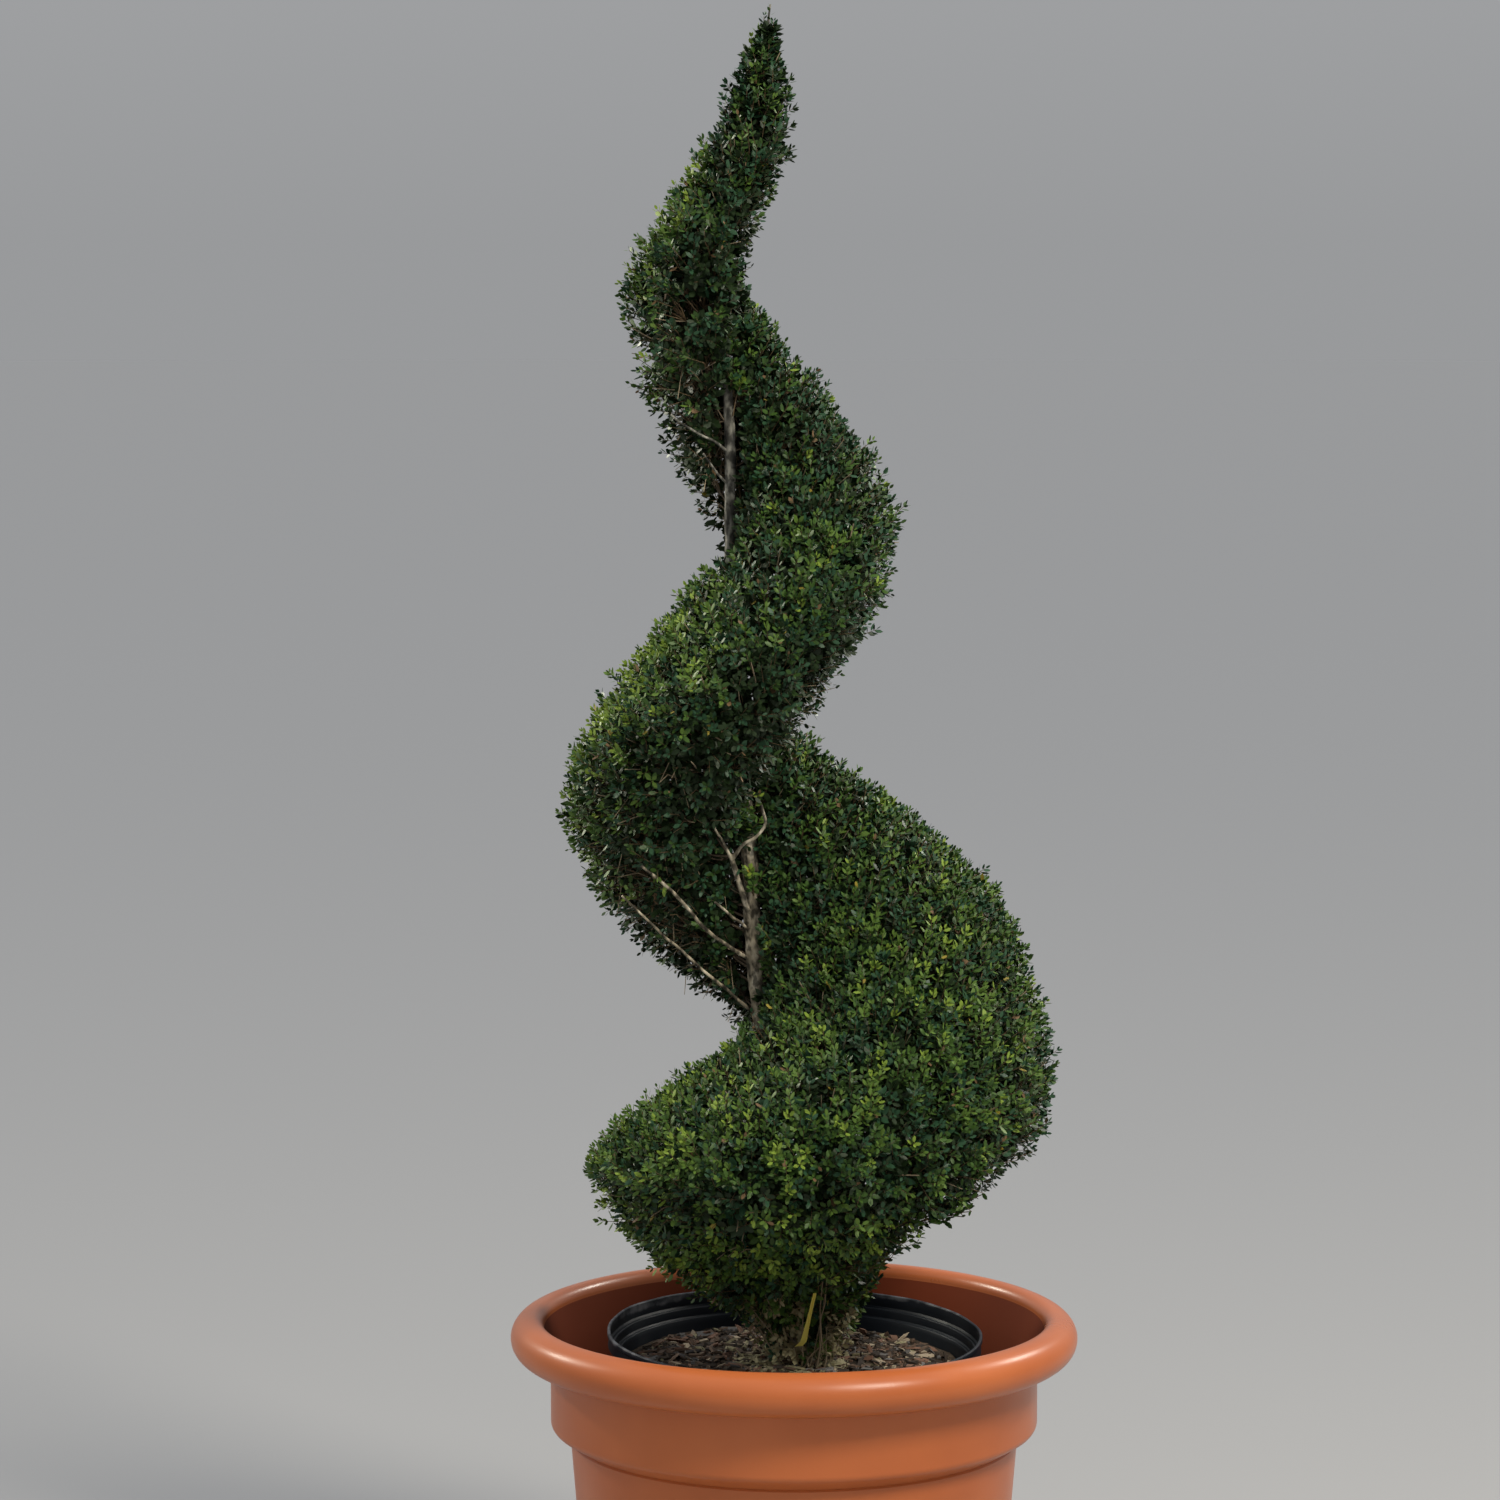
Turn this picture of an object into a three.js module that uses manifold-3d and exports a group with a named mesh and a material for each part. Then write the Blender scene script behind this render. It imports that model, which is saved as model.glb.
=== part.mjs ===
// A small-leaved evergreen clipped to a rising spiral, in its black nursery container,
// which stands inside a larger terracotta-coloured planter with a rolled rim.
// Millimetres, +Z up, front at -Y. The origin is the middle of the planter's underside.
import * as THREE from "three";
import { mergeVertices } from "three/addons/utils/BufferGeometryUtils.js";
import Module from "manifold-3d";

const wasm = await Module();
wasm.setup();

// Planter: a thin-walled pot with a rolled rim, a collar under it and a step below the collar.
const PLANTER_HEIGHT = 455;
const RIM_RADIUS = 305;
const RIM_DEPTH = 46;
const RIM_INNER_RADIUS = 269;
const COLLAR_RADIUS = 262;
const COLLAR_FOOT_Z = 333;
const COLLAR_STEP = 10;
const STEP_RADIUS = 241.5;
const BASE_RADIUS = 215;
const PLANTER_WALL = 4.5;
const PLANTER_FLOOR = 5;
const PLANTER_SIDES = 36;

// Nursery container: it stands on the planter's floor, with two small ledges inside its mouth.
const CONTAINER_LIP_Z = 437;
const CONTAINER_LIP_RADIUS = 204;
const CONTAINER_LEDGE_RADIUS = 196;
const CONTAINER_BODY_RADIUS = 191;
const CONTAINER_BASE_RADIUS = 166;
const CONTAINER_WALL = 2.5;
const CONTAINER_SIDES = 30;

// Bark-covered compost inside the container; the trunk is cut flat at its surface.
const SOIL_Z = 407;
const SOIL_EDGE_DROP = 6;

// Clearance between neighbouring pieces.
const GAP = 0.3;
const CUT_GAP = 0.4;

// Corners lie on a grid this fine.
const GRID = 0.01;

// Trunk stations: height above the compost, sideways lean of the middle, radius.
const TRUNK = [
  { height: 0, lean: 14, radius: 17 },
  { height: 60, lean: 4, radius: 14 },
  { height: 170, lean: -6, radius: 12.5 },
  { height: 310, lean: -25, radius: 11 },
  { height: 412, lean: -40, radius: 9.5 },
  { height: 540, lean: -48, radius: 8.6 },
  { height: 700, lean: -60, radius: 7.6 },
  { height: 870, lean: -68, radius: 6.4 },
  { height: 1000, lean: -69, radius: 5.6 },
  { height: 1130, lean: -77, radius: 4.6 },
  { height: 1190, lean: -76, radius: 4 },
  { height: 1240, lean: -63, radius: 3.4 },
  { height: 1313, lean: -45, radius: 2.6 },
  { height: 1444, lean: -26, radius: 1 },
];
const TRUNK_SIDES = 10;
const TRUNK_RINGS = 26;
// Rings stand closer together towards the foot, which flares into a few low ridges.
const TRUNK_RING_POWER = 1.35;
const FLARE = 8;
const FLARE_HEIGHT = 28;
const FLARE_RIDGES = 5;
const FLARE_RIDGE_SHARE = 0.25;

// The clipped band climbs anticlockwise seen from above. A turn of 0 faces right, a quarter back,
// a half left and three quarters front. At each turn: the middle height of the bare groove under
// the band and half its height at the trunk, the height and reach of the band's outer edge, and
// how full its upper and lower faces are, where 1 is straight and more is rounder.
const BAND = [
  { turn: -1, groove: 0, bare: 0, edge: 90, reach: 98, above: 1.8, below: 1.3 },
  { turn: -0.75, groove: 0, bare: 0, edge: 150, reach: 176, above: 1.5, below: 1.8 },
  { turn: -0.5, groove: 0, bare: 0, edge: 207, reach: 215, above: 1.6, below: 1.8 },
  { turn: -0.25, groove: 20, bare: 4, edge: 262, reach: 270, above: 2.2, below: 1.8 },
  { turn: 0, groove: 145, bare: 8, edge: 335, reach: 308, above: 3, below: 3 },
  { turn: 0.25, groove: 260, bare: 25, edge: 470, reach: 262, above: 2.4, below: 2.2 },
  { turn: 0.5, groove: 373, bare: 24, edge: 615, reach: 200, above: 1.32, below: 2.7 },
  { turn: 0.75, groove: 489, bare: 80, edge: 755, reach: 184, above: 1.6, below: 2.2 },
  { turn: 1, groove: 655, bare: 8, edge: 890, reach: 186, above: 1.55, below: 1.6 },
  { turn: 1.25, groove: 790, bare: 30, edge: 1010, reach: 140, above: 1.6, below: 2 },
  { turn: 1.5, groove: 897, bare: 15, edge: 1125, reach: 110, above: 1.45, below: 2.3 },
  { turn: 1.75, groove: 965, bare: 60, edge: 1210, reach: 74, above: 1.6, below: 2 },
  { turn: 2, groove: 1148, bare: 8, edge: 1290, reach: 42, above: 2.6, below: 2.2 },
  { turn: 2.25, groove: 1235, bare: 8, edge: 1345, reach: 32, above: 2, below: 1.6 },
  { turn: 2.5, groove: 1400, bare: 0, edge: 1420, reach: 8, above: 1.5, below: 1.5 },
  { turn: 2.75, groove: 1444, bare: 0, edge: 1444, reach: 2, above: 1.5, below: 1.5 },
];
const PLANT_HEIGHT = 1444;
const CROWN_HEIGHT = 1290;

// The twiggy skirt around the trunk's foot, and the cone that closes the tip.
const SKIRT_RADIUS = 34;
const SKIRT_SLOPE = 0.72;
const SKIRT_TOP = 160;
const SKIRT_CLOSE = 4;
const TIP_SLOPE = 0.38;
const TIP_RADIUS = 2;

// Boughs: start and end radius, then points as turn, distance from the trunk's middle and height.
const BOUGHS = {
  bough_left_high: {
    radii: [2.7, 1.8],
    path: [[0.6, 0, 430], [0.6, 54, 464], [0.6, 104, 516], [0.6, 139, 544]],
  },
  bough_left_low: {
    radii: [2.2, 1.5],
    path: [[0.57, 0, 368], [0.57, 50, 415], [0.57, 105, 466], [0.57, 150, 510]],
  },
  bough_left_short: {
    radii: [2.2, 1.5],
    path: [[0.64, 0, 461], [0.64, 30, 482], [0.64, 60, 501]],
  },
  bough_front: {
    radii: [4.4, 3.2],
    path: [[0.66, 0, 464], [0.66, 17, 508], [0.66, 36, 549]],
  },
  bough_front_left: {
    radii: [2, 1.4],
    path: [[0.66, 34, 545], [0.655, 48, 566], [0.65, 66, 592]],
  },
  bough_front_right: {
    radii: [2.5, 1.9],
    path: [[0.66, 34, 545], [0.735, 35, 562], [0.79, 38, 570], [0.825, 43, 584], [0.815, 45, 604]],
  },
  bough_upper_high: {
    radii: [1.8, 1.3],
    path: [[0.6, 0, 974], [0.6, 28, 990], [0.6, 62, 1007], [0.6, 74, 1016]],
  },
  bough_upper_low: {
    radii: [1.8, 1.3],
    path: [[0.58, 0, 938], [0.58, 19, 958], [0.58, 32, 974]],
  },
};
const BOUGH_SIDES = 6;
const BOUGH_STEP = 16;

// Foliage masses: each takes a quarter of a turn of the band. The height is where its stem leaves
// the trunk; a mass with a bough grows on from that bough's tip instead.
const MASSES = {
  base_right: { turn: -1, stem: 60, sprays: 6 },
  base_back: { turn: -0.75, stem: 120, sprays: 10 },
  base_left: { turn: -0.5, stem: 170, sprays: 14 },
  base_front: { turn: -0.25, stem: 190, sprays: 19 },
  lower_right: { turn: 0, stem: 330, sprays: 22 },
  lower_back: { turn: 0.25, stem: 460, sprays: 15 },
  middle_left: { turn: 0.5, bough: "bough_left_high", sprays: 14 },
  middle_front: { turn: 0.75, bough: "bough_front_left", sprays: 12 },
  middle_right: { turn: 1, stem: 850, sprays: 13 },
  middle_back: { turn: 1.25, stem: 960, sprays: 10 },
  upper_left: { turn: 1.5, bough: "bough_upper_high", sprays: 12 },
  upper_front: { turn: 1.75, stem: 1160, sprays: 9 },
  upper_right: { turn: 2, stem: 1225, sprays: 5 },
};
const CROWN = { stem: 1320, sprays: 12 };
const WEDGE = 0.125;
const SEAM = 2;
const SPACE_MARGIN = 2;

// The solid middle of a mass, inside the leaves.
const CORE_SHARE = 0.88;
const CORE_INSET = 10;
const CORE_CLEAR = 3;
const CORE_MIN_WALL = 7;
const CORE_RINGS = 6;
const CORE_POINTS = 9;
const CORE_BACK_POINTS = 3;
const CORE_LUMPS = 0.035;
const LUMPS_A_TURN = 6.5;
const LUMP_HEIGHT = 170;

// The crown's core stops this far under the tip, and is this much thicker than the trunk.
const CROWN_CORE_SIDES = 10;
const CROWN_CORE_LEVELS = 6;
const CROWN_CORE_DROP = 62;
const CROWN_CORE_CLEAR = 4;

// A mass's stem from the trunk, which rises a little on its way into the core.
const STEM_RADIUS = 4;
const STEM_SHARE = 0.36;
const STEM_RISE = 10;
const STEM_SUNK = 8;

// A mass's stem onward from the tip of its bough.
const ONWARD_LENGTH = 40;
const ONWARD_RADII = [2.2, 1.2];

// Sprays: a twig with two side leaves and one at its end. The leaves are larger than life.
// Their roots are sunk into the core or the twig.
const SPRAY_LIFT = 0.25;
const CROWN_LIFT = 1.4;
const SPRAY_JITTER = 0.5;
const SPRAY_OUTWARD = 0.35;
const SPRAY_ENDS = 0.06;
const CROWN_SPRAY_DROP = 12;
const FIRST_SEED = 11;
const SEED_STEP = 100;
const MASS_TRIES = 5;
const TWIG_RADIUS = 2.4;
const TWIG_SUNK = 14;
const TWIG_SHORTEST = 22;
const LEAF_LENGTH = 46;
const LEAF_WIDTH = 25;
const LEAF_THICKNESS = 3;
const LEAF_SUNK = 6;
const LEAF_OVER = 2;
const LEAF_TRIES = [1, 0.8, 0.62];
const CROWN_LEAF_TRIES = [0.8, 0.6, 0.45];
const LIMB_CLEAR = 3;

// Where the side leaves leave the twig, and how far they turn from its direction.
const SIDE_LEAVES = [
  { side: -1, at: 0.62 },
  { side: 1, at: 0.74 },
];
const SIDE_LEAF_ANGLE = 0.9;

// Marker tape: a narrow strip that hangs down the front of the twiggy skirt.
const TAPE_WIDTH_TOP = 4;
const TAPE_WIDTH_END = 9;
const TAPE_THICKNESS = 0.8;
const TAPE_TOP = 92;
const TAPE_FOOT = 24;
const TAPE_TOP_X = 21;
const TAPE_FOOT_X = 6;
const TAPE_STEPS = 5;
const TAPE_CLEAR = 7;

const UP = new THREE.Vector3(0, 0, 1);
const TAU = 2 * Math.PI;

const MATERIALS = {
  planter: new THREE.MeshStandardMaterial({ color: 0xb8683f, roughness: 0.5 }),
  container: new THREE.MeshStandardMaterial({ color: 0x1b1d20, roughness: 0.55 }),
  soil: new THREE.MeshStandardMaterial({ color: 0x6b4f3a, roughness: 0.95 }),
  bark: new THREE.MeshStandardMaterial({ color: 0x857564, roughness: 0.9 }),
  foliage: new THREE.MeshStandardMaterial({ color: 0x2f4a26, roughness: 0.6 }),
  tape: new THREE.MeshStandardMaterial({ color: 0xb9b03a, roughness: 0.5 }),
};

// A seeded random number from 0 to 1.
function makeRandom(seed) {
  let state = seed;
  return () => {
    state = (state + 0x6d2b79f5) | 0;
    let mixed = Math.imul(state ^ (state >>> 15), 1 | state);
    mixed = (mixed + Math.imul(mixed ^ (mixed >>> 7), 61 | mixed)) ^ mixed;
    return ((mixed ^ (mixed >>> 14)) >>> 0) / 4294967296;
  };
}

// A smooth curve through one value of the stations, read at a place along them.
function along(stations, key, name, at) {
  const last = stations.length - 1;
  const place = THREE.MathUtils.clamp(at, stations[0][key], stations[last][key]);
  let index = 0;
  while (index < last - 1 && stations[index + 1][key] < place) index += 1;
  const slope = (n) => {
    const before = stations[Math.max(n - 1, 0)];
    const after = stations[Math.min(n + 1, last)];
    return (after[name] - before[name]) / (after[key] - before[key]);
  };
  const from = stations[index];
  const to = stations[index + 1];
  const span = to[key] - from[key];
  const t = (place - from[key]) / span;
  const rise = t * t * (3 - 2 * t);
  const leave = t * (1 - t) * (1 - t) * span * slope(index);
  const arrive = t * t * (t - 1) * span * slope(index + 1);
  return from[name] * (1 - rise) + to[name] * rise + leave + arrive;
}

const band = (name, turn) => along(BAND, "turn", name, turn);
const trunkLean = (height) => along(TRUNK, "height", "lean", height);
const trunkRadius = (height) => along(TRUNK, "height", "radius", height);
const flareAt = (height) => FLARE * Math.exp(-height / FLARE_HEIGHT);

// A point beside the trunk: which way, how far from its middle, and how high above the compost.
function beside(turn, out, height) {
  const angle = turn * TAU;
  return new THREE.Vector3(
    trunkLean(height) + out * Math.cos(angle),
    out * Math.sin(angle),
    SOIL_Z + height,
  );
}

// The lowest and highest place of the band at a turn, between the bare grooves.
function bandFloor(turn) {
  return turn < -WEDGE ? 0 : band("groove", turn) + band("bare", turn);
}

function bandRoof(turn) {
  return Math.min(band("groove", turn + 1) - band("bare", turn + 1), PLANT_HEIGHT);
}

// How far the clipped surface stands from the trunk's middle.
function surfaceReach(turn, height) {
  const low = band("groove", turn) + band("bare", turn);
  const high = bandRoof(turn);
  const edge = band("edge", turn);
  const upper = THREE.MathUtils.clamp((height - edge) / Math.max(high - edge, 1), 0, 1);
  const lower = THREE.MathUtils.clamp((edge - height) / Math.max(edge - low, 1), 0, 1);
  const fall = height > edge ? upper ** band("above", turn) : lower ** band("below", turn);
  let reach = height >= low && height <= high ? band("reach", turn) * (1 - fall) : 0;
  if (turn < -WEDGE) {
    const closing = SKIRT_RADIUS + SKIRT_SLOPE * SKIRT_TOP - SKIRT_CLOSE * (height - SKIRT_TOP);
    const skirt = Math.min(SKIRT_RADIUS + SKIRT_SLOPE * height, closing);
    reach = Math.max(reach, skirt);
  }
  return Math.max(Math.min(reach, TIP_RADIUS + TIP_SLOPE * (PLANT_HEIGHT - height)), 0);
}

// The clipped surface over the tip, where the last turns of the band run together.
function tipReach(turn, height) {
  const part = turn - Math.floor(turn);
  return Math.max(surfaceReach(part + 1, height), surfaceReach(part + 2, height));
}

// A closed mesh from rings with the same number of points, capped at both ends.
function loft(rings) {
  const count = rings[0].length;
  const position = rings.flat().flatMap((point) => [point.x, point.y, point.z]);
  const index = [];
  for (let ring = 0; ring < rings.length - 1; ring += 1) {
    for (let side = 0; side < count; side += 1) {
      const a = ring * count + side;
      const b = ring * count + ((side + 1) % count);
      index.push(a, b, b + count, a, b + count, a + count);
    }
  }
  const top = (rings.length - 1) * count;
  const centreOf = (ring) => {
    const sum = ring.reduce((total, point) => total.add(point), new THREE.Vector3());
    return sum.divideScalar(ring.length);
  };
  [rings[0], rings[rings.length - 1]].forEach((ring) => position.push(...centreOf(ring).toArray()));
  const middle = rings.length * count;
  for (let side = 0; side < count; side += 1) {
    const next = (side + 1) % count;
    index.push(middle, next, side, middle + 1, top + side, top + next);
  }
  const geometry = new THREE.BufferGeometry();
  geometry.setAttribute("position", new THREE.Float32BufferAttribute(position, 3));
  geometry.setIndex(index);
  return geometry;
}

// A geometry as a solid that can be joined and cut, with its faces turned to point out.
function solidOf(geometry) {
  const bare = geometry.clone();
  bare.deleteAttribute("normal");
  bare.deleteAttribute("uv");
  const merged = mergeVertices(bare, 1e-3);
  const corners = new Uint32Array(merged.index.array);
  const build = () =>
    new wasm.Manifold(
      new wasm.Mesh({
        numProp: 3,
        vertProperties: merged.attributes.position.array,
        triVerts: corners,
      }),
    );
  const solid = build();
  if (solid.volume() > 0) return solid;
  for (let face = 0; face < corners.length; face += 3) {
    [corners[face + 1], corners[face + 2]] = [corners[face + 2], corners[face + 1]];
  }
  return build();
}

// A solid's surface with its corners moved to a fine grid, so that no two lie closer than that.
// It returns null where that would open or pinch the surface.
function griddedGeometry(solid) {
  const mesh = solid.getMesh();
  const position = [];
  const numberAt = new Map();
  const numberOf = [];
  for (let corner = 0; corner < mesh.numVert; corner += 1) {
    const point = [0, 1, 2].map((axis) => {
      const value = mesh.vertProperties[corner * mesh.numProp + axis];
      return Math.round(value / GRID) * GRID;
    });
    const key = point.map((value) => Math.round(value / GRID)).join();
    if (!numberAt.has(key)) {
      numberAt.set(key, position.length / 3);
      position.push(...point);
    }
    numberOf.push(numberAt.get(key));
  }
  // Faces that have lost their area go, and so do two faces that now lie back to back.
  const faces = new Map();
  for (let face = 0; face < mesh.triVerts.length; face += 3) {
    const corners = [0, 1, 2].map((n) => numberOf[mesh.triVerts[face + n]]);
    if (new Set(corners).size < 3) continue;
    const key = [...corners].sort((a, b) => a - b).join();
    if (!faces.delete(key)) faces.set(key, corners);
  }
  const edges = new Set();
  for (const corners of faces.values()) {
    for (let n = 0; n < 3; n += 1) {
      const edge = `${corners[n]},${corners[(n + 1) % 3]}`;
      if (edges.has(edge)) return null;
      edges.add(edge);
    }
  }
  const closed = [...edges].every((edge) => edges.has(edge.split(",").reverse().join()));
  if (!closed) return null;
  const geometry = new THREE.BufferGeometry();
  geometry.setAttribute("position", new THREE.Float32BufferAttribute(position, 3));
  geometry.setIndex([...faces.values()].flat());
  geometry.computeVertexNormals();
  return geometry;
}

// The largest single body, with any sealed hollow filled and loose scraps dropped.
function largestBody(solid) {
  const bodies = solid.decompose();
  return bodies.reduce((best, body) => (body.volume() > best.volume() ? body : best));
}

// A tapering round limb along a list of points.
function limbGeometry(points, radiusAt, sides) {
  const rings = points.map((point, index) => {
    const before = points[Math.max(index - 1, 0)];
    const after = points[Math.min(index + 1, points.length - 1)];
    const forward = after.clone().sub(before).normalize();
    const across = new THREE.Vector3(0, 1, 0).cross(forward).normalize();
    const other = forward.clone().cross(across);
    const ring = [];
    for (let side = 0; side < sides; side += 1) {
      const angle = (side * TAU) / sides;
      const radius = radiusAt(index / (points.length - 1), angle);
      ring.push(
        point
          .clone()
          .addScaledVector(across, radius * Math.cos(angle))
          .addScaledVector(other, radius * Math.sin(angle)),
      );
    }
    return ring;
  });
  return loft(rings);
}

// The trunk from its flat cut to the tip; its foot flares into a few low ridges.
function trunkGeometry(extra = 0) {
  const rings = [];
  for (let ring = 0; ring <= TRUNK_RINGS; ring += 1) {
    const height = PLANT_HEIGHT * (ring / TRUNK_RINGS) ** TRUNK_RING_POWER;
    const loop = [];
    for (let side = 0; side < TRUNK_SIDES; side += 1) {
      const angle = (side * TAU) / TRUNK_SIDES;
      const ridge = 1 - FLARE_RIDGE_SHARE * (1 - Math.cos(FLARE_RIDGES * angle));
      const radius = trunkRadius(height) + flareAt(height) * ridge + extra;
      loop.push(beside(angle / TAU, radius, height));
    }
    rings.push(loop);
  }
  return loft(rings);
}

// A bough's middle line, with a point about every BOUGH_STEP.
function boughLine(bough) {
  const curve = new THREE.CatmullRomCurve3(bough.path.map((place) => beside(...place)));
  return curve.getPoints(Math.max(3, Math.round(curve.getLength() / BOUGH_STEP)));
}

function boughGeometry(bough, extra = 0) {
  const line = boughLine(bough);
  if (extra > 0) {
    const last = line.length - 1;
    const onward = line[last].clone().sub(line[last - 1]).normalize();
    line.push(line[last].clone().addScaledVector(onward, extra));
  }
  const [thick, thin] = bough.radii;
  return limbGeometry(line, (share) => THREE.MathUtils.lerp(thick, thin, share) + extra, BOUGH_SIDES);
}

// The limbs with a clearance around them, for cutting their neighbours.
const inflatedTrunk = solidOf(trunkGeometry(CUT_GAP));
const inflatedBoughs = Object.values(BOUGHS).map((bough) => solidOf(boughGeometry(bough, CUT_GAP)));
const limbLines = Object.values(BOUGHS).map((bough) => ({
  line: boughLine(bough),
  radius: bough.radii[0],
}));

// The tape's middle line, just outside the skirt.
function tapeLine() {
  const line = [];
  for (let step = 0; step <= TAPE_STEPS; step += 1) {
    const share = step / TAPE_STEPS;
    const height = THREE.MathUtils.lerp(TAPE_TOP, TAPE_FOOT, share);
    const x = THREE.MathUtils.lerp(TAPE_TOP_X, TAPE_FOOT_X, share);
    line.push(new THREE.Vector3(x, -(SKIRT_RADIUS + SKIRT_SLOPE * height), SOIL_Z + height));
  }
  return line;
}

const TAPE_LINE = tapeLine();

// Whether a point keeps clear of the trunk, the boughs and the tape.
function clearOfLimbs(point) {
  if (TAPE_LINE.some((place) => place.distanceTo(point) < TAPE_CLEAR + TAPE_WIDTH_END)) return false;
  const height = point.z - SOIL_Z;
  const fromTrunk = Math.hypot(point.x - trunkLean(height), point.y);
  if (fromTrunk < trunkRadius(height) + LIMB_CLEAR) return false;
  return limbLines.every(({ line, radius }) =>
    line.every((place) => place.distanceTo(point) > radius + LIMB_CLEAR),
  );
}

// The space that one mass keeps to.
function spaceOf(mass) {
  const isCrown = mass.turn === undefined;
  const roof = (turn) => (isCrown ? PLANT_HEIGHT : Math.min(bandRoof(turn), CROWN_HEIGHT - SPACE_MARGIN));
  const floor = (turn) => (isCrown ? CROWN_HEIGHT + SPACE_MARGIN : bandFloor(turn));
  const reach = (turn, height) => (isCrown ? tipReach(turn, height) : surfaceReach(turn, height));
  // A point's own turn, counted from the middle of the mass.
  const turnOf = (point) => {
    const raw = Math.atan2(point.y, point.x - trunkLean(point.z - SOIL_Z)) / TAU;
    if (isCrown) return raw;
    return mass.turn + ((((raw - mass.turn + 0.5) % 1) + 1) % 1) - 0.5;
  };
  const holds = (point, over = LEAF_OVER) => {
    const height = point.z - SOIL_Z;
    const turn = turnOf(point);
    const out = Math.hypot(point.x - trunkLean(height), point.y);
    if (height < floor(turn) + SPACE_MARGIN || height > roof(turn) - SPACE_MARGIN) return false;
    if (out > reach(turn, height) + over) return false;
    if (isCrown) return true;
    const off = Math.abs(turn - mass.turn);
    if (off > WEDGE) return false;
    return out * Math.sin((WEDGE - off) * TAU) > SPACE_MARGIN;
  };
  return { isCrown, roof, floor, reach, holds };
}

// The core's outer radius, a little lumpy like the growth inside a clipped face.
function coreReach(space, turn, height) {
  const around = Math.sin(TAU * (turn * LUMPS_A_TURN + height / LUMP_HEIGHT));
  const lumps = 1 + CORE_LUMPS * around * Math.cos((TAU * height) / LUMP_HEIGHT);
  return (CORE_SHARE * space.reach(turn, height) - CORE_INSET) * lumps;
}

// The core of a wedge-shaped mass: upright sections side by side around the trunk.
function wedgeCore(mass, space) {
  const inner = (height) => trunkRadius(height) + CORE_CLEAR + flareAt(height);
  const rings = [];
  for (let ring = 0; ring < CORE_RINGS; ring += 1) {
    const share = ring / (CORE_RINGS - 1);
    const turn = mass.turn + THREE.MathUtils.lerp(-WEDGE, WEDGE, share);
    const thick = (height) => coreReach(space, turn, height) > inner(height) + CORE_MIN_WALL;
    let low = space.floor(turn) + SPACE_MARGIN;
    let high = space.roof(turn) - SPACE_MARGIN;
    while (low < high && !thick(low)) low += 1;
    while (high > low && !thick(high)) high -= 1;
    // The first and last sections stand a seam's width inside the mass's own quarter.
    const side = { 0: 1, [CORE_RINGS - 1]: -1 }[ring] ?? 0;
    const angle = turn * TAU;
    const inward = new THREE.Vector3(-Math.sin(angle), Math.cos(angle), 0).multiplyScalar(side * SEAM);
    const place = (out, height) => beside(turn, out, height).add(inward);
    const loop = [];
    for (let point = 0; point < CORE_POINTS; point += 1) {
      const height = THREE.MathUtils.lerp(low, high, point / (CORE_POINTS - 1));
      loop.push(place(coreReach(space, turn, height), height));
    }
    for (let point = 0; point < CORE_BACK_POINTS; point += 1) {
      const height = THREE.MathUtils.lerp(high, low, point / (CORE_BACK_POINTS - 1));
      loop.push(place(inner(height), height));
    }
    rings.push(loop);
  }
  return loft(rings);
}

// The crown's core: level rings up to where it grows too thin.
function crownCore(space) {
  const low = space.floor(0) + SPACE_MARGIN;
  const high = PLANT_HEIGHT - CROWN_CORE_DROP;
  const rings = [];
  for (let level = 0; level < CROWN_CORE_LEVELS; level += 1) {
    const height = THREE.MathUtils.lerp(low, high, level / (CROWN_CORE_LEVELS - 1));
    const loop = [];
    for (let side = 0; side < CROWN_CORE_SIDES; side += 1) {
      const turn = side / CROWN_CORE_SIDES;
      const least = trunkRadius(height) + CROWN_CORE_CLEAR;
      const reach = Math.max(coreReach(space, turn, height), least);
      loop.push(beside(turn, reach, height));
    }
    rings.push(loop);
  }
  return loft(rings);
}

// A three-sided twig that tapers to a point.
function twigSolid(from, to, radius) {
  const length = from.distanceTo(to);
  const cone = new THREE.ConeGeometry(radius, length, 3);
  cone.translate(0, length / 2, 0);
  const direction = to.clone().sub(from).normalize();
  const turnTo = new THREE.Quaternion().setFromUnitVectors(new THREE.Vector3(0, 1, 0), direction);
  cone.applyQuaternion(turnTo);
  cone.translate(from.x, from.y, from.z);
  return solidOf(cone);
}

// A pointed oval leaf of eight faces, from its root towards its tip.
function leafSolid(root, direction, faceTo, length) {
  const leaf = new THREE.OctahedronGeometry(1);
  const width = LEAF_WIDTH * (length / LEAF_LENGTH);
  leaf.scale(width / 2, length / 2, LEAF_THICKNESS / 2);
  leaf.translate(0, length / 2, 0);
  const across = direction.clone().cross(faceTo).normalize();
  const face = across.clone().cross(direction).normalize();
  leaf.applyMatrix4(new THREE.Matrix4().makeBasis(across, direction, face));
  leaf.translate(root.x, root.y, root.z);
  return { solid: solidOf(leaf), across, face, width };
}

// Whether a leaf stays in its mass's space and clear of the limbs.
function leafFits(space, root, direction, across, length, width) {
  const tip = root.clone().addScaledVector(direction, length);
  const middle = root.clone().addScaledVector(direction, length / 2);
  const sides = [-1, 1].map((side) => middle.clone().addScaledVector(across, (side * width) / 2));
  return [root, tip, ...sides].every((point) => space.holds(point) && clearOfLimbs(point));
}

// Adds a leaf to a list of solids, shorter where the full length doesn't fit.
function addLeaf(parts, space, root, direction, faceTo) {
  for (const share of space.isCrown ? CROWN_LEAF_TRIES : LEAF_TRIES) {
    const length = LEAF_LENGTH * share;
    const across = direction.clone().cross(faceTo).normalize();
    if (leafFits(space, root, direction, across, length, LEAF_WIDTH * share)) {
      parts.push(leafSolid(root, direction, faceTo, length).solid);
      return;
    }
  }
}

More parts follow.
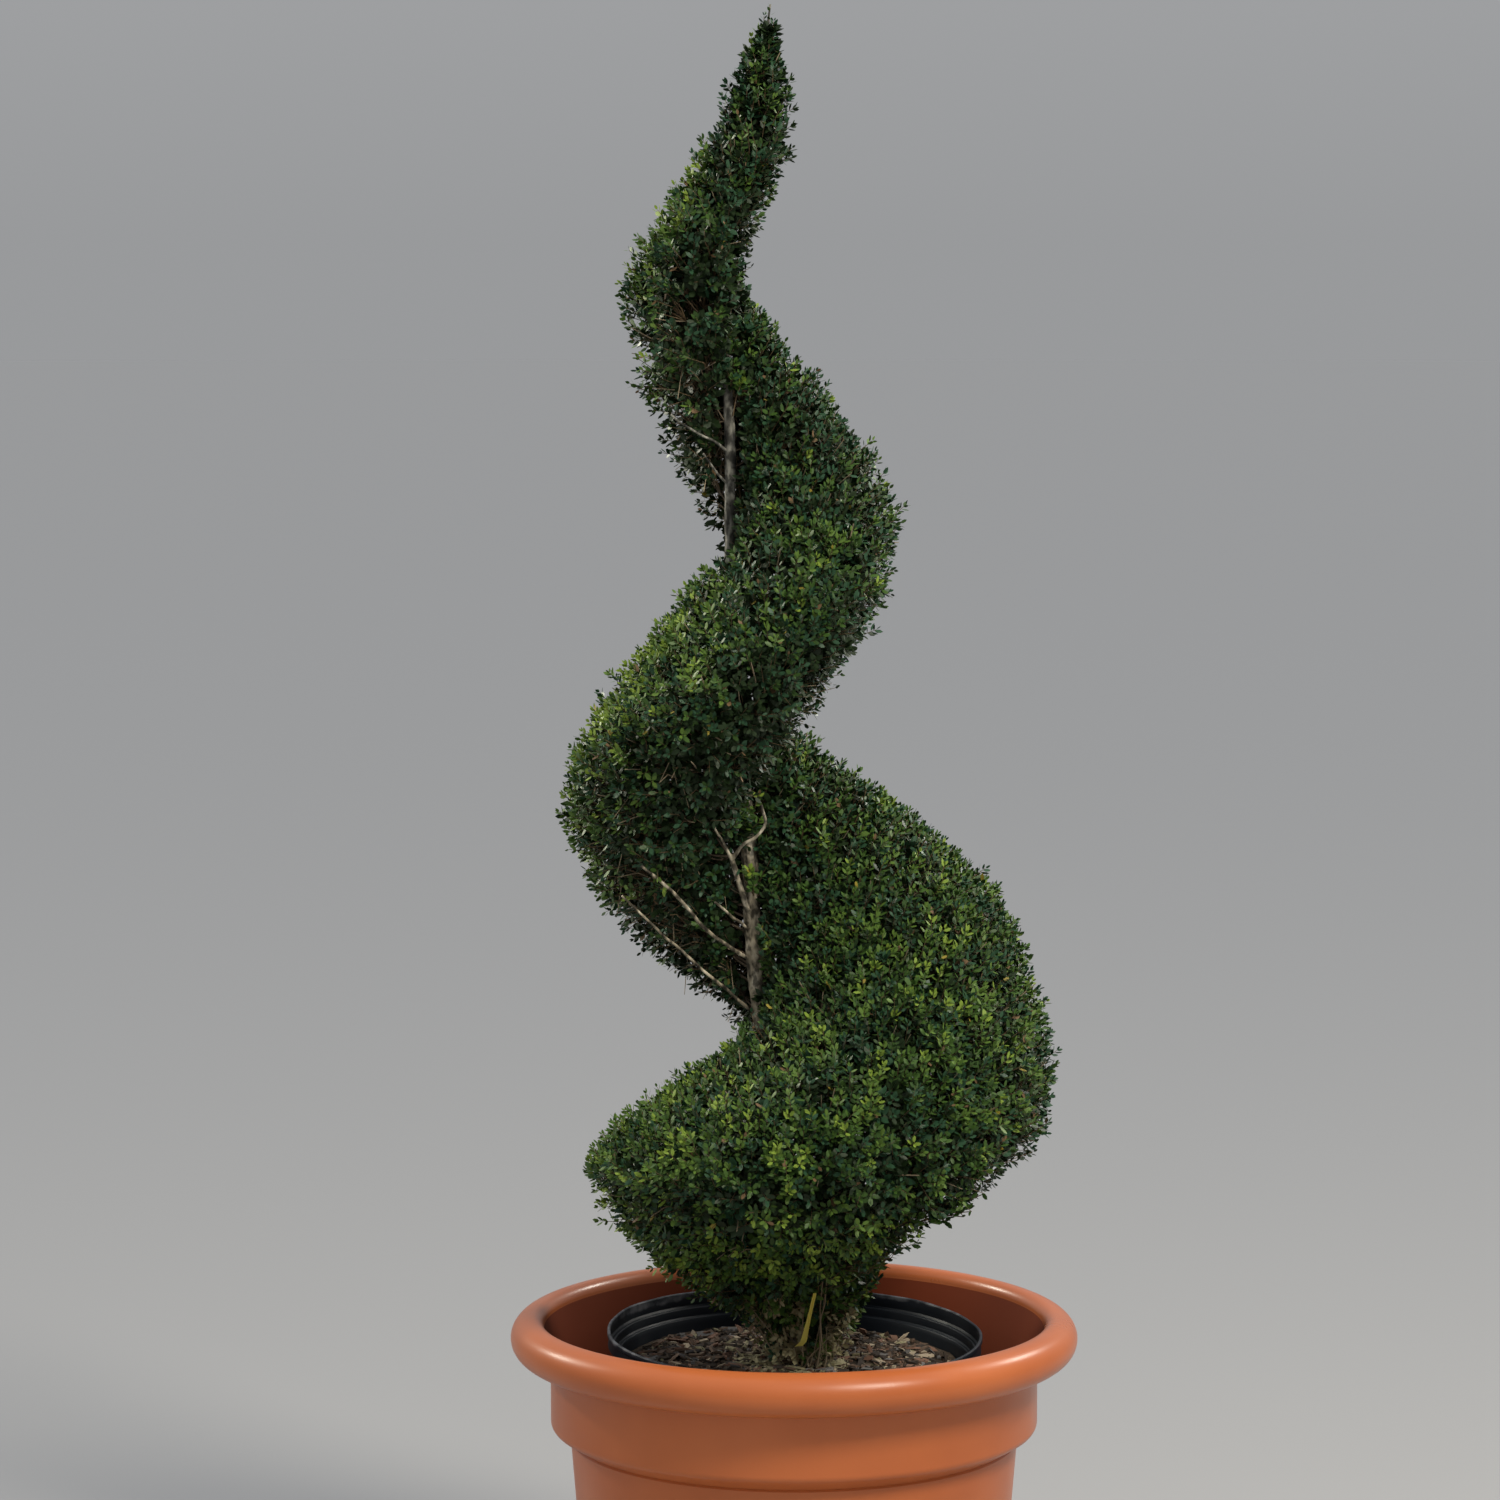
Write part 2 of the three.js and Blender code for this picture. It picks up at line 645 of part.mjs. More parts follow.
// One spray: a twig out of the core, with a leaf on each side and one at its end.
function addSpray(parts, space, turn, height, random) {
  const out = space.reach(turn, height);
  const surface = beside(turn, out, height);
  const step = 4;
  const aroundWay = beside(turn + 0.01, space.reach(turn + 0.01, height), height).sub(surface);
  const upWay = beside(turn, space.reach(turn, height + step), height + step).sub(surface);
  const normal = aroundWay.cross(upWay).normalize();
  const outward = surface.clone().sub(beside(turn, 0, height)).normalize();
  if (normal.dot(outward) < 0) normal.negate();
  normal.addScaledVector(outward, SPRAY_OUTWARD).normalize();
  const depth = (1 - CORE_SHARE) * out + CORE_INSET;
  const jitter = () => (random() - 0.5) * SPRAY_JITTER;
  const lift = space.isCrown ? CROWN_LIFT : SPRAY_LIFT;
  const direction = normal.clone().add(new THREE.Vector3(jitter(), jitter(), lift + jitter())).normalize();
  const root = surface.clone().addScaledVector(normal, -(depth + TWIG_SUNK));
  const twigLength = Math.max(depth + TWIG_SUNK - LEAF_LENGTH / 2, TWIG_SHORTEST);
  const twigTip = root.clone().addScaledVector(direction, twigLength);
  if (![root, twigTip].every((point) => space.holds(point) && clearOfLimbs(point))) return;
  parts.push(twigSolid(root, twigTip, TWIG_RADIUS));
  const spin = random() * TAU;
  const helper = Math.abs(direction.z) > 0.9 ? new THREE.Vector3(1, 0, 0) : UP;
  const across = direction.clone().cross(helper).normalize().applyAxisAngle(direction, spin);
  const facing = direction.clone().cross(across).normalize();
  addLeaf(parts, space, twigTip.clone().addScaledVector(direction, -LEAF_SUNK), direction, facing);
  SIDE_LEAVES.forEach(({ side, at }) => {
    const way = direction.clone().applyAxisAngle(facing, side * SIDE_LEAF_ANGLE);
    const leafRoot = root.clone().lerp(twigTip, at).addScaledVector(way, -LEAF_SUNK / 3);
    addLeaf(parts, space, leafRoot, way, facing);
  });
}

// A whole mass: stem, core and sprays fused, then cut clear of the trunk and the boughs.
function massSolid(mass, seed) {
  const random = makeRandom(seed);
  const space = spaceOf(mass);
  const core = space.isCrown ? crownCore(space) : wedgeCore(mass, space);
  const parts = [solidOf(core)];
  if (mass.bough) {
    const line = boughLine(BOUGHS[mass.bough]);
    const tip = line[line.length - 1];
    const onward = tip.clone().sub(line[line.length - 2]).normalize();
    const inside = tip.clone().addScaledVector(onward, ONWARD_LENGTH);
    const radiusAt = (share) => THREE.MathUtils.lerp(...ONWARD_RADII, share);
    parts.push(solidOf(limbGeometry([tip, inside], radiusAt, BOUGH_SIDES)));
  } else {
    const turn = space.isCrown ? 0.5 : mass.turn;
    const top = mass.stem + STEM_RISE;
    const far = coreReach(space, turn, top) / 2 + STEM_SUNK;
    const line = [beside(turn, 0, mass.stem), beside(turn, far, top)];
    const radius = Math.min(STEM_RADIUS, STEM_SHARE * trunkRadius(mass.stem));
    parts.push(solidOf(limbGeometry(line, () => radius, BOUGH_SIDES)));
  }
  const golden = (Math.sqrt(5) - 1) / 2;
  for (let spray = 0; spray < mass.sprays; spray += 1) {
    const share = (spray * golden + random() * 0.1) % 1;
    const half = space.isCrown ? 0.5 : WEDGE * 0.93;
    const turn = (space.isCrown ? 0 : mass.turn) + THREE.MathUtils.lerp(-half, half, share);
    const level = (spray + 0.5) / mass.sprays;
    const low = space.floor(turn);
    const high = space.isCrown ? PLANT_HEIGHT - CROWN_SPRAY_DROP : space.roof(turn);
    const height = THREE.MathUtils.lerp(low, high, THREE.MathUtils.lerp(SPRAY_ENDS, 1 - SPRAY_ENDS, level));
    addSpray(parts, space, turn, height, random);
  }
  let solid = wasm.Manifold.union(parts);
  solid = solid.subtract(inflatedTrunk);
  inflatedBoughs.forEach((bough) => {
    solid = solid.subtract(bough);
  });
  return largestBody(solid);
}

// A mass's surface; where one try doesn't close, the next has another seed and fewer sprays.
function massGeometry(mass, seed) {
  for (let attempt = 0; attempt < MASS_TRIES; attempt += 1) {
    const sprays = Math.round(mass.sprays * (1 - 0.06 * attempt));
    const geometry = griddedGeometry(massSolid({ ...mass, sprays }, seed + attempt * SEED_STEP));
    if (geometry) return geometry;
  }
  throw new Error("a foliage mass didn't close");
}

// The planter in section: up the outside, over the rolled rim, and down the inside.
function planterGeometry() {
  const rollCentre = PLANTER_HEIGHT - RIM_DEPTH / 2;
  const outline = [
    [0, 0],
    [BASE_RADIUS - 6, 0],
    [BASE_RADIUS, 6],
    [STEP_RADIUS - 2, COLLAR_FOOT_Z - 2 * COLLAR_STEP],
    [STEP_RADIUS, COLLAR_FOOT_Z - COLLAR_STEP],
    [COLLAR_RADIUS - 5, COLLAR_FOOT_Z],
    [COLLAR_RADIUS - 1, COLLAR_FOOT_Z + COLLAR_STEP],
    [COLLAR_RADIUS, PLANTER_HEIGHT - RIM_DEPTH - 6],
    [COLLAR_RADIUS + 2, PLANTER_HEIGHT - RIM_DEPTH],
    [RIM_RADIUS - 14, PLANTER_HEIGHT - RIM_DEPTH],
  ];
  const rollSteps = 6;
  for (let step = 0; step <= rollSteps; step += 1) {
    const angle = THREE.MathUtils.lerp(-0.3, 0.5, step / rollSteps) * Math.PI;
    const across = (RIM_RADIUS - RIM_INNER_RADIUS) * 0.55;
    outline.push([
      RIM_RADIUS - across + across * Math.cos(angle),
      rollCentre + (RIM_DEPTH / 2) * Math.sin(angle),
    ]);
  }
  outline.push(
    [RIM_INNER_RADIUS + 6, PLANTER_HEIGHT - 5],
    [RIM_INNER_RADIUS, PLANTER_HEIGHT - 14],
    [COLLAR_RADIUS - PLANTER_WALL, PLANTER_HEIGHT - RIM_DEPTH],
    [COLLAR_RADIUS - PLANTER_WALL, COLLAR_FOOT_Z + 6],
    [STEP_RADIUS - PLANTER_WALL, COLLAR_FOOT_Z - 7],
    [BASE_RADIUS - PLANTER_WALL, PLANTER_FLOOR + 4],
    [BASE_RADIUS - PLANTER_WALL - 4, PLANTER_FLOOR],
    [0, PLANTER_FLOOR],
  );
  return lathe(outline, PLANTER_SIDES);
}

// The nursery container in section, with its ledges, its lip and its open inside.
function containerGeometry() {
  const foot = PLANTER_FLOOR + GAP;
  const outline = [
    [0, foot],
    [CONTAINER_BASE_RADIUS, foot],
    [CONTAINER_BODY_RADIUS, CONTAINER_LIP_Z - 34],
    [CONTAINER_LEDGE_RADIUS, CONTAINER_LIP_Z - 30],
    [CONTAINER_LEDGE_RADIUS + 1, CONTAINER_LIP_Z - 20],
    [CONTAINER_LIP_RADIUS - 2, CONTAINER_LIP_Z - 17],
    [CONTAINER_LIP_RADIUS, CONTAINER_LIP_Z],
    [CONTAINER_LIP_RADIUS - CONTAINER_WALL, CONTAINER_LIP_Z],
    [CONTAINER_LIP_RADIUS - CONTAINER_WALL - 2, CONTAINER_LIP_Z - 15],
    [CONTAINER_LEDGE_RADIUS - CONTAINER_WALL + 1, CONTAINER_LIP_Z - 18],
    [CONTAINER_LEDGE_RADIUS - CONTAINER_WALL, CONTAINER_LIP_Z - 28],
    [CONTAINER_BODY_RADIUS - CONTAINER_WALL, CONTAINER_LIP_Z - 32],
    [CONTAINER_BASE_RADIUS - CONTAINER_WALL, foot + CONTAINER_WALL],
    [0, foot + CONTAINER_WALL],
  ];
  return lathe(outline, CONTAINER_SIDES);
}

// The compost fills the container, and is a little lower at its edge.
function soilGeometry() {
  const foot = PLANTER_FLOOR + GAP + CONTAINER_WALL + GAP;
  const share = (SOIL_Z - SOIL_EDGE_DROP - foot) / (CONTAINER_LIP_Z - 32 - foot);
  const inside = CONTAINER_WALL + 2 * GAP;
  const topRadius = THREE.MathUtils.lerp(CONTAINER_BASE_RADIUS, CONTAINER_BODY_RADIUS, share) - inside;
  const outline = [
    [0, foot],
    [CONTAINER_BASE_RADIUS - inside - 1, foot],
    [topRadius, SOIL_Z - SOIL_EDGE_DROP],
    [topRadius * 0.75, SOIL_Z - GAP],
    [0, SOIL_Z - GAP],
  ];
  return lathe(outline, CONTAINER_SIDES);
}

// A turned solid; the outline starts and ends on the axis and runs with the solid on its left.
function lathe(outline, sides) {
  const geometry = new THREE.LatheGeometry(
    outline.map(([radius, z]) => new THREE.Vector2(radius, z)),
    sides,
  );
  geometry.rotateX(Math.PI / 2);
  return geometry;
}

// The marker tape, a thin strip that widens to its lower end.
function tapeGeometry() {
  const rings = TAPE_LINE.map((place, step) => {
    const share = step / TAPE_STEPS;
    const half = THREE.MathUtils.lerp(TAPE_WIDTH_TOP, TAPE_WIDTH_END, share ** 2) / 2;
    const corner = (x, y) => new THREE.Vector3(place.x + x, place.y + y, place.z);
    return [
      corner(-half, -TAPE_THICKNESS),
      corner(-half, 0),
      corner(half, 0),
      corner(half, -TAPE_THICKNESS),
    ];
  });
  return loft(rings);
}

const plant = new THREE.Group();

// Adds one named piece.
function addPiece(name, geometry, material) {
  const mesh = new THREE.Mesh(geometry, material);
  mesh.name = name;
  plant.add(mesh);
}

addPiece("planter", griddedGeometry(solidOf(planterGeometry())), MATERIALS.planter);
addPiece("nursery_container", griddedGeometry(solidOf(containerGeometry())), MATERIALS.container);
addPiece("soil", griddedGeometry(solidOf(soilGeometry())), MATERIALS.soil);
addPiece("trunk", griddedGeometry(solidOf(trunkGeometry())), MATERIALS.bark);
addPiece("marker_tape", griddedGeometry(solidOf(tapeGeometry())), MATERIALS.tape);

// Each bough is cut clear of the trunk, and of the bough that it forks from.
const cutters = [inflatedTrunk];
Object.entries(BOUGHS).forEach(([name, bough]) => {
  let solid = solidOf(boughGeometry(bough));
  cutters.forEach((cutter) => {
    solid = solid.subtract(cutter);
  });
  addPiece(name, griddedGeometry(largestBody(solid)), MATERIALS.bark);
  cutters.push(solidOf(boughGeometry(bough, CUT_GAP)));
});

Object.entries(MASSES).forEach(([name, mass], index) => {
  addPiece(name, massGeometry(mass, FIRST_SEED + index), MATERIALS.foliage);
});
addPiece("crown", massGeometry(CROWN, FIRST_SEED + Object.keys(MASSES).length), MATERIALS.foliage);

export default plant;
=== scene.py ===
import math

import bmesh
import bpy
import numpy as np
from mathutils import Matrix, Vector, kdtree, noise


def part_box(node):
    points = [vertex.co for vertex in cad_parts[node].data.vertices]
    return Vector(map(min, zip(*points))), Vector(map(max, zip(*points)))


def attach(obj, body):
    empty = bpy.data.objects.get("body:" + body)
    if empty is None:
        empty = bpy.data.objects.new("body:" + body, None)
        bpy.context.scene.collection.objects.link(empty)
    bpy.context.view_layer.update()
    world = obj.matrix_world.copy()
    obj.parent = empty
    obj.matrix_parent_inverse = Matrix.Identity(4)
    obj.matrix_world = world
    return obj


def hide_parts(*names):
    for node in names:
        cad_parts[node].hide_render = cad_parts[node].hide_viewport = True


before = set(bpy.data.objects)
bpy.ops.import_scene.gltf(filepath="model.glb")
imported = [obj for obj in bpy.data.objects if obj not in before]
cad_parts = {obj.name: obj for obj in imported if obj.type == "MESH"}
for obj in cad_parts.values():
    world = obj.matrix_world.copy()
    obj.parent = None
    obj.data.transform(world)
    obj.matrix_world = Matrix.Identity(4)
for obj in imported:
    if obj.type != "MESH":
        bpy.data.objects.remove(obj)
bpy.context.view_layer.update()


# Camera, light and floor: a long lens at eye height, a little above the middle of the plant.
# Soft light comes from a pale sky, with one large lamp ahead on the right and two behind.
# The floor is plain and pale.
EYE = (0, -5.2508, 1.6095)
LOOK_DOWN = 5.918
LOOK_LEFT = 0.517
LENS = 119.04

camera = bpy.data.objects.new("camera", bpy.data.cameras.new("camera"))
camera.location = EYE
camera.rotation_euler = (math.radians(90 - LOOK_DOWN), 0, math.radians(LOOK_LEFT))
camera.data.lens = LENS
camera.data.sensor_width = 36
camera.data.clip_end = 200
bpy.context.scene.collection.objects.link(camera)
bpy.context.scene.camera = camera
bpy.context.scene.view_settings.view_transform = "Standard"


def new_material(name, base, roughness, specular=0.5):
    """A plain surface in one colour, and its nodes, ready for more detail."""
    material = bpy.data.materials.new(name)
    material.use_nodes = True
    shader = material.node_tree.nodes["Principled BSDF"]
    shader.inputs["Base Color"].default_value = (*base, 1)
    shader.inputs["Roughness"].default_value = roughness
    shader.inputs["Specular IOR Level"].default_value = specular
    return material


def add_light(name, place, aim, size, watts, colour, beam=None):
    """A square lamp, or with a beam a round one that lights only so wide a patch at its aim."""
    if beam:
        lamp = bpy.data.lights.new(name, "SPOT")
        lamp.spot_size = 2 * math.atan(beam / 2 / (Vector(aim) - Vector(place)).length)
        lamp.spot_blend = 0.6
        lamp.shadow_soft_size = size / 2
    else:
        lamp = bpy.data.lights.new(name, "AREA")
        lamp.size = size
    lamp.energy = watts
    lamp.color = colour
    piece = bpy.data.objects.new(name, lamp)
    piece.location = place
    piece.rotation_euler = (Vector(aim) - Vector(place)).to_track_quat("-Z", "Y").to_euler()
    bpy.context.scene.collection.objects.link(piece)


add_light("key_light", (2.4, -3.0, 4.4), (0, 0, 1.0), 1.3, 230, (1, 0.93, 0.8))
add_light("back_left_light", (-3.4, 1.9, 2.9), (0, 0, 1.32), 1.0, 900, (1, 0.95, 0.8), beam=1.8)
add_light("back_right_light", (3.2, 2.4, 3.6), (0, 0, 1.25), 1.0, 760, (1, 0.96, 0.86), beam=1.7)


def pale_sky():
    """A soft sky that is lighter overhead and as light as the far floor at the horizon."""
    sky = bpy.data.worlds.new("pale_sky")
    sky.use_nodes = True
    nodes, links = sky.node_tree.nodes, sky.node_tree.links
    place = nodes.new("ShaderNodeTexCoord")
    split = nodes.new("ShaderNodeSeparateXYZ")
    ramp = nodes.new("ShaderNodeValToRGB")
    ramp.color_ramp.elements[0].color = (0.36, 0.366, 0.375, 1)
    ramp.color_ramp.elements[1].color = (0.965, 0.98, 1.0, 1)
    links.new(place.outputs["Generated"], split.inputs["Vector"])
    links.new(split.outputs["Z"], ramp.inputs["Fac"])
    links.new(ramp.outputs["Color"], nodes["Background"].inputs["Color"])
    nodes["Background"].inputs["Strength"].default_value = 0.88
    return sky


bpy.context.scene.world = pale_sky()

FLOOR_RADIUS = 60
floor_mesh = bmesh.new()
bmesh.ops.create_circle(floor_mesh, cap_ends=True, segments=64, radius=FLOOR_RADIUS)
floor = bpy.data.objects.new("floor", bpy.data.meshes.new("floor"))
floor_mesh.to_mesh(floor.data)
floor_mesh.free()
floor.data.materials.append(new_material("pale_floor", (0.44, 0.44, 0.44), 0.95))
bpy.context.scene.collection.objects.link(floor)


# Planter: a round patio pot of terracotta-coloured plastic, moulded in one piece. Its rim rolls
# over and down, a collar stands out below the rim, and a groove runs round under the collar.
planter_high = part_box("planter")[1]
RIM_RADIUS = planter_high.x
PLANTER_TOP = planter_high.z
RIM_DEPTH = 0.046
RIM_MOUTH = 0.269
COLLAR_RADIUS = 0.262
COLLAR_FOOT = 0.333
COLLAR_STEP = 0.010
STEP_RADIUS = 0.2415
BASE_RADIUS = 0.215
PLANTER_WALL = 0.0045
PLANTER_FLOOR = 0.005
PLANTER_SIDES = 160
MOUTH_DEPTH = 0.012
TERRACOTTA = ((0.25, (0.385, 0.096, 0.027)), (0.5, (0.45, 0.119, 0.034)), (0.78, (0.51, 0.142, 0.042)))
# The inside's colour is scaled down to a darker, redder painted shade for the pot's mouth.
INSIDE_PAINTED_SHADE = (0.43, 0.34, 0.47)


def arc(centre, across, up, start, end, steps):
    """Points on an ellipse about a centre, with its angles in degrees from outward."""
    angles = np.radians(np.linspace(start, end, steps + 1))
    return [(centre[0] + across * math.cos(a), centre[1] + up * math.sin(a)) for a in angles]


def turned(outline, sides):
    """A closed turned shape from its outline of (radius, height), which ends on the axis."""
    shape = bmesh.new()
    points = [shape.verts.new((radius, 0, height)) for radius, height in outline]
    edges = [shape.edges.new(pair) for pair in zip(points, points[1:])]
    bmesh.ops.spin(
        shape, geom=points + edges, cent=(0, 0, 0), axis=(0, 0, 1),
        angle=2 * math.pi, steps=sides, use_merge=True,
    )
    bmesh.ops.remove_doubles(shape, verts=shape.verts, dist=1e-6)
    bmesh.ops.recalc_face_normals(shape, faces=shape.faces)
    return shape


def place_piece(name, mesh, node_names):
    """Puts a mesh in the scene, with its body and the solids that it stands for."""
    piece = bpy.data.objects.new(name, mesh)
    bpy.context.scene.collection.objects.link(piece)
    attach(piece, "root")
    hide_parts(*node_names)


def finish_piece(name, shape, materials, node_names, sharp_angle=35):
    """Makes a piece of a shape, with its finish."""
    mesh = bpy.data.meshes.new(name)
    shape.to_mesh(mesh)
    shape.free()
    mesh.shade_smooth()
    mesh.set_sharp_from_angle(angle=math.radians(sharp_angle))
    for material in materials:
        mesh.materials.append(material)
    place_piece(name, mesh, node_names)


def wire(material, source, output, target, value):
    """Joins one node's output to another's input."""
    material.node_tree.links.new(source.outputs[output], target.inputs[value])


def to_shader(material, source, output, value):
    """Joins a node's output to one of the shader's inputs."""
    wire(material, source, output, material.node_tree.nodes["Principled BSDF"], value)


def add_noise(material, scale, detail, stretch=(1, 1, 1)):
    """A noise pattern fixed to the object's own coordinates."""
    nodes = material.node_tree.nodes
    place = nodes.new("ShaderNodeTexCoord")
    mapping = nodes.new("ShaderNodeMapping")
    mapping.inputs["Scale"].default_value = stretch
    pattern = nodes.new("ShaderNodeTexNoise")
    pattern.inputs["Scale"].default_value = scale
    pattern.inputs["Detail"].default_value = detail
    wire(material, place, "Object", mapping, "Vector")
    wire(material, mapping, "Vector", pattern, "Vector")
    return pattern


def add_ramp(material, source, output, stops):
    """A colour ramp driven by a value, from stops of (place, colour)."""
    ramp = material.node_tree.nodes.new("ShaderNodeValToRGB")
    wire(material, source, output, ramp, "Fac")
    elements = ramp.color_ramp.elements
    while len(elements) < len(stops):
        elements.new(0.5)
    for element, (place, colour) in zip(elements, stops):
        element.position = place
        element.color = (*colour, 1)
    return ramp


def add_bump(material, source, output, distance, strength=1):
    """Fine relief from a value, joined to the shader."""
    bump = material.node_tree.nodes.new("ShaderNodeBump")
    bump.inputs["Distance"].default_value = distance
    bump.inputs["Strength"].default_value = strength
    wire(material, source, output, bump, "Height")
    to_shader(material, bump, "Normal", "Normal")


def planter_outline():
    roll_across = 0.024
    roll_centre = (RIM_RADIUS - roll_across, PLANTER_TOP - RIM_DEPTH / 2)
    under_rim = PLANTER_TOP - RIM_DEPTH
    step_height = COLLAR_FOOT - COLLAR_STEP
    mouth_round = RIM_RADIUS - roll_across - RIM_MOUTH
    outline = [(0, 0.004), (BASE_RADIUS - 0.03, 0.004), (BASE_RADIUS - 0.026, 0)]
    outline += arc((BASE_RADIUS - 0.008, 0.008), 0.008, 0.008, -90, 0, 6)
    outline += [(STEP_RADIUS - 0.0012, step_height - 0.006), (STEP_RADIUS - 0.0009, step_height - 0.003)]
    outline += [(STEP_RADIUS - 0.0024, step_height - 0.0008), (STEP_RADIUS - 0.0002, step_height + 0.0008)]
    outline += arc((COLLAR_RADIUS - 0.009, COLLAR_FOOT + 0.0085), 0.009, 0.0095, -60, 0, 8)
    outline += [(COLLAR_RADIUS, under_rim - 0.006)]
    outline += [(COLLAR_RADIUS + 0.002, under_rim), (RIM_RADIUS - 0.018, under_rim)]
    outline += arc(roll_centre, roll_across, RIM_DEPTH / 2, -62, 90, 22)
    outline += arc((RIM_MOUTH + mouth_round, PLANTER_TOP - 0.013), mouth_round, 0.013, 90, 180, 10)[1:]
    outline += [(COLLAR_RADIUS - PLANTER_WALL + 0.001, under_rim)]
    outline += [(COLLAR_RADIUS - PLANTER_WALL, COLLAR_FOOT + 0.006)]
    outline += [(STEP_RADIUS - PLANTER_WALL, COLLAR_FOOT - 0.007)]
    outline += [(BASE_RADIUS - PLANTER_WALL, PLANTER_FLOOR + 0.004)]
    outline += [(BASE_RADIUS - PLANTER_WALL - 0.004, PLANTER_FLOOR), (0, PLANTER_FLOOR)]
    return outline


def terracotta_plastic(name, shade, dull, shine):
    """The plastic's faint mottling. The inner side gets painted shade, darker and redder, and is duller."""
    material = new_material(name, (0.45, 0.14, 0.05), dull, shine)
    mottle = add_noise(material, 5, 5)
    colours = add_ramp(material, mottle, "Fac", [
        (place, [part * level for part, level in zip(colour, shade)]) for place, colour in TERRACOTTA
    ])
    to_shader(material, colours, "Color", "Base Color")
    smears = add_noise(material, 9, 6, (1, 1, 0.35))
    dullness = add_ramp(material, smears, "Fac", [(0.3, (dull,) * 3), (0.75, (dull + 0.16,) * 3)])
    to_shader(material, dullness, "Color", "Roughness")
    add_bump(material, add_noise(material, 900, 3), "Fac", 0.00012, 0.35)
    return material


planter_shape = turned(planter_outline(), PLANTER_SIDES)
# Faces that look inward below the round of the mouth take the plastic with painted shade.
for face in planter_shape.faces:
    middle = face.calc_center_median()
    inward = face.normal.x * middle.x + face.normal.y * middle.y < 0
    face.material_index = int(inward and middle.z < PLANTER_TOP - MOUTH_DEPTH)
planter_materials = [
    terracotta_plastic("terracotta_plastic", (1, 1, 1), 0.26, 0.36),
    terracotta_plastic("terracotta_inside_painted_shade", INSIDE_PAINTED_SHADE, 0.6, 0.1),
]
finish_piece("planter_pot", planter_shape, planter_materials, ["planter"])


# Nursery container: a thin black pot, blown in one piece. It stands on the planter's floor.
# Two small ledges run round inside its mouth, and its scuffed lip is a little out of true.
container_low, container_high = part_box("nursery_container")
LIP_TOP = container_high.z
CONTAINER_FOOT = container_low.z
LIP_RADIUS = 0.204
LEDGE_RADIUS = 0.196
CONTAINER_RADIUS = 0.191
CONTAINER_BASE = 0.166
CONTAINER_WALL = 0.0025
CONTAINER_SIDES = 144
LIP_WAVE = 0.0016
LIP_WAVE_DEPTH = 0.03
LIP_SLOPE_RIGHT = -0.019
LIP_SLOPE_BACK = 0.03
SCUFFS_FROM, SCUFFS_TO = 0.009, 0.001


def container_outline():
    lip = LIP_RADIUS - 0.0016
    inside = lip - CONTAINER_WALL
    ledge = LEDGE_RADIUS - CONTAINER_WALL
    body = CONTAINER_RADIUS - CONTAINER_WALL
    outline = [(0, CONTAINER_FOOT), (CONTAINER_BASE, CONTAINER_FOOT)]
    outline += [(CONTAINER_RADIUS, LIP_TOP - 0.034), (LEDGE_RADIUS, LIP_TOP - 0.03)]
    outline += [(LEDGE_RADIUS + 0.001, LIP_TOP - 0.02), (LIP_RADIUS - 0.002, LIP_TOP - 0.017)]
    outline += [(lip - 0.0012, LIP_TOP - 0.007), (LIP_RADIUS - 0.0004, LIP_TOP - 0.005)]
    outline += arc((lip - 0.0005, LIP_TOP - 0.002), 0.0018, 0.0018, 0, 180, 6)
    outline += [(inside, LIP_TOP - 0.0145)]
    outline += arc((inside - 0.0032, LIP_TOP - 0.0175), 0.0022, 0.0012, 50, 180, 5)
    outline += [(ledge, LIP_TOP - 0.0255)]
    outline += arc((ledge - 0.0028, LIP_TOP - 0.0275), 0.002, 0.001, 50, 180, 5)
    outline += [(body - 0.0015, LIP_TOP - 0.032)]
    outline += [(CONTAINER_BASE - CONTAINER_WALL, CONTAINER_FOOT + CONTAINER_WALL)]
    outline += [(0, CONTAINER_FOOT + CONTAINER_WALL)]
    return outline


def warp_lip(shape):
    """The lip's line, pushed in a little where the pot was handled, and its slight slope."""
    for vert in shape.verts:
        rise = max(0, (vert.co.z - CONTAINER_FOOT) / (LIP_TOP - CONTAINER_FOOT) - 0.1) / 0.9
        vert.co.z += rise * (LIP_SLOPE_RIGHT * vert.co.x + LIP_SLOPE_BACK * vert.co.y)
        share = min(1, max(0, 1 - (LIP_TOP - vert.co.z) / LIP_WAVE_DEPTH))
        angle = math.atan2(vert.co.y, vert.co.x)
        wave = math.sin(3 * angle + 0.6) + 0.6 * math.sin(7 * angle + 2) + 0.3 * math.sin(17 * angle)
        inward = LIP_WAVE * share * (wave - 1.9) / 1.9
        vert.co.x += inward * math.cos(angle)
        vert.co.y += inward * math.sin(angle)
        vert.co.z += 0.5 * inward


def rising(material, low, high):
    """A value that goes from 0 to 1 between two heights."""
    nodes = material.node_tree.nodes
    place = nodes.new("ShaderNodeTexCoord")
    split = nodes.new("ShaderNodeSeparateXYZ")
    share = nodes.new("ShaderNodeMapRange")
    share.inputs["From Min"].default_value = low
    share.inputs["From Max"].default_value = high
    wire(material, place, "Object", split, "Vector")
    wire(material, split, "Z", share, "Value")
    return share


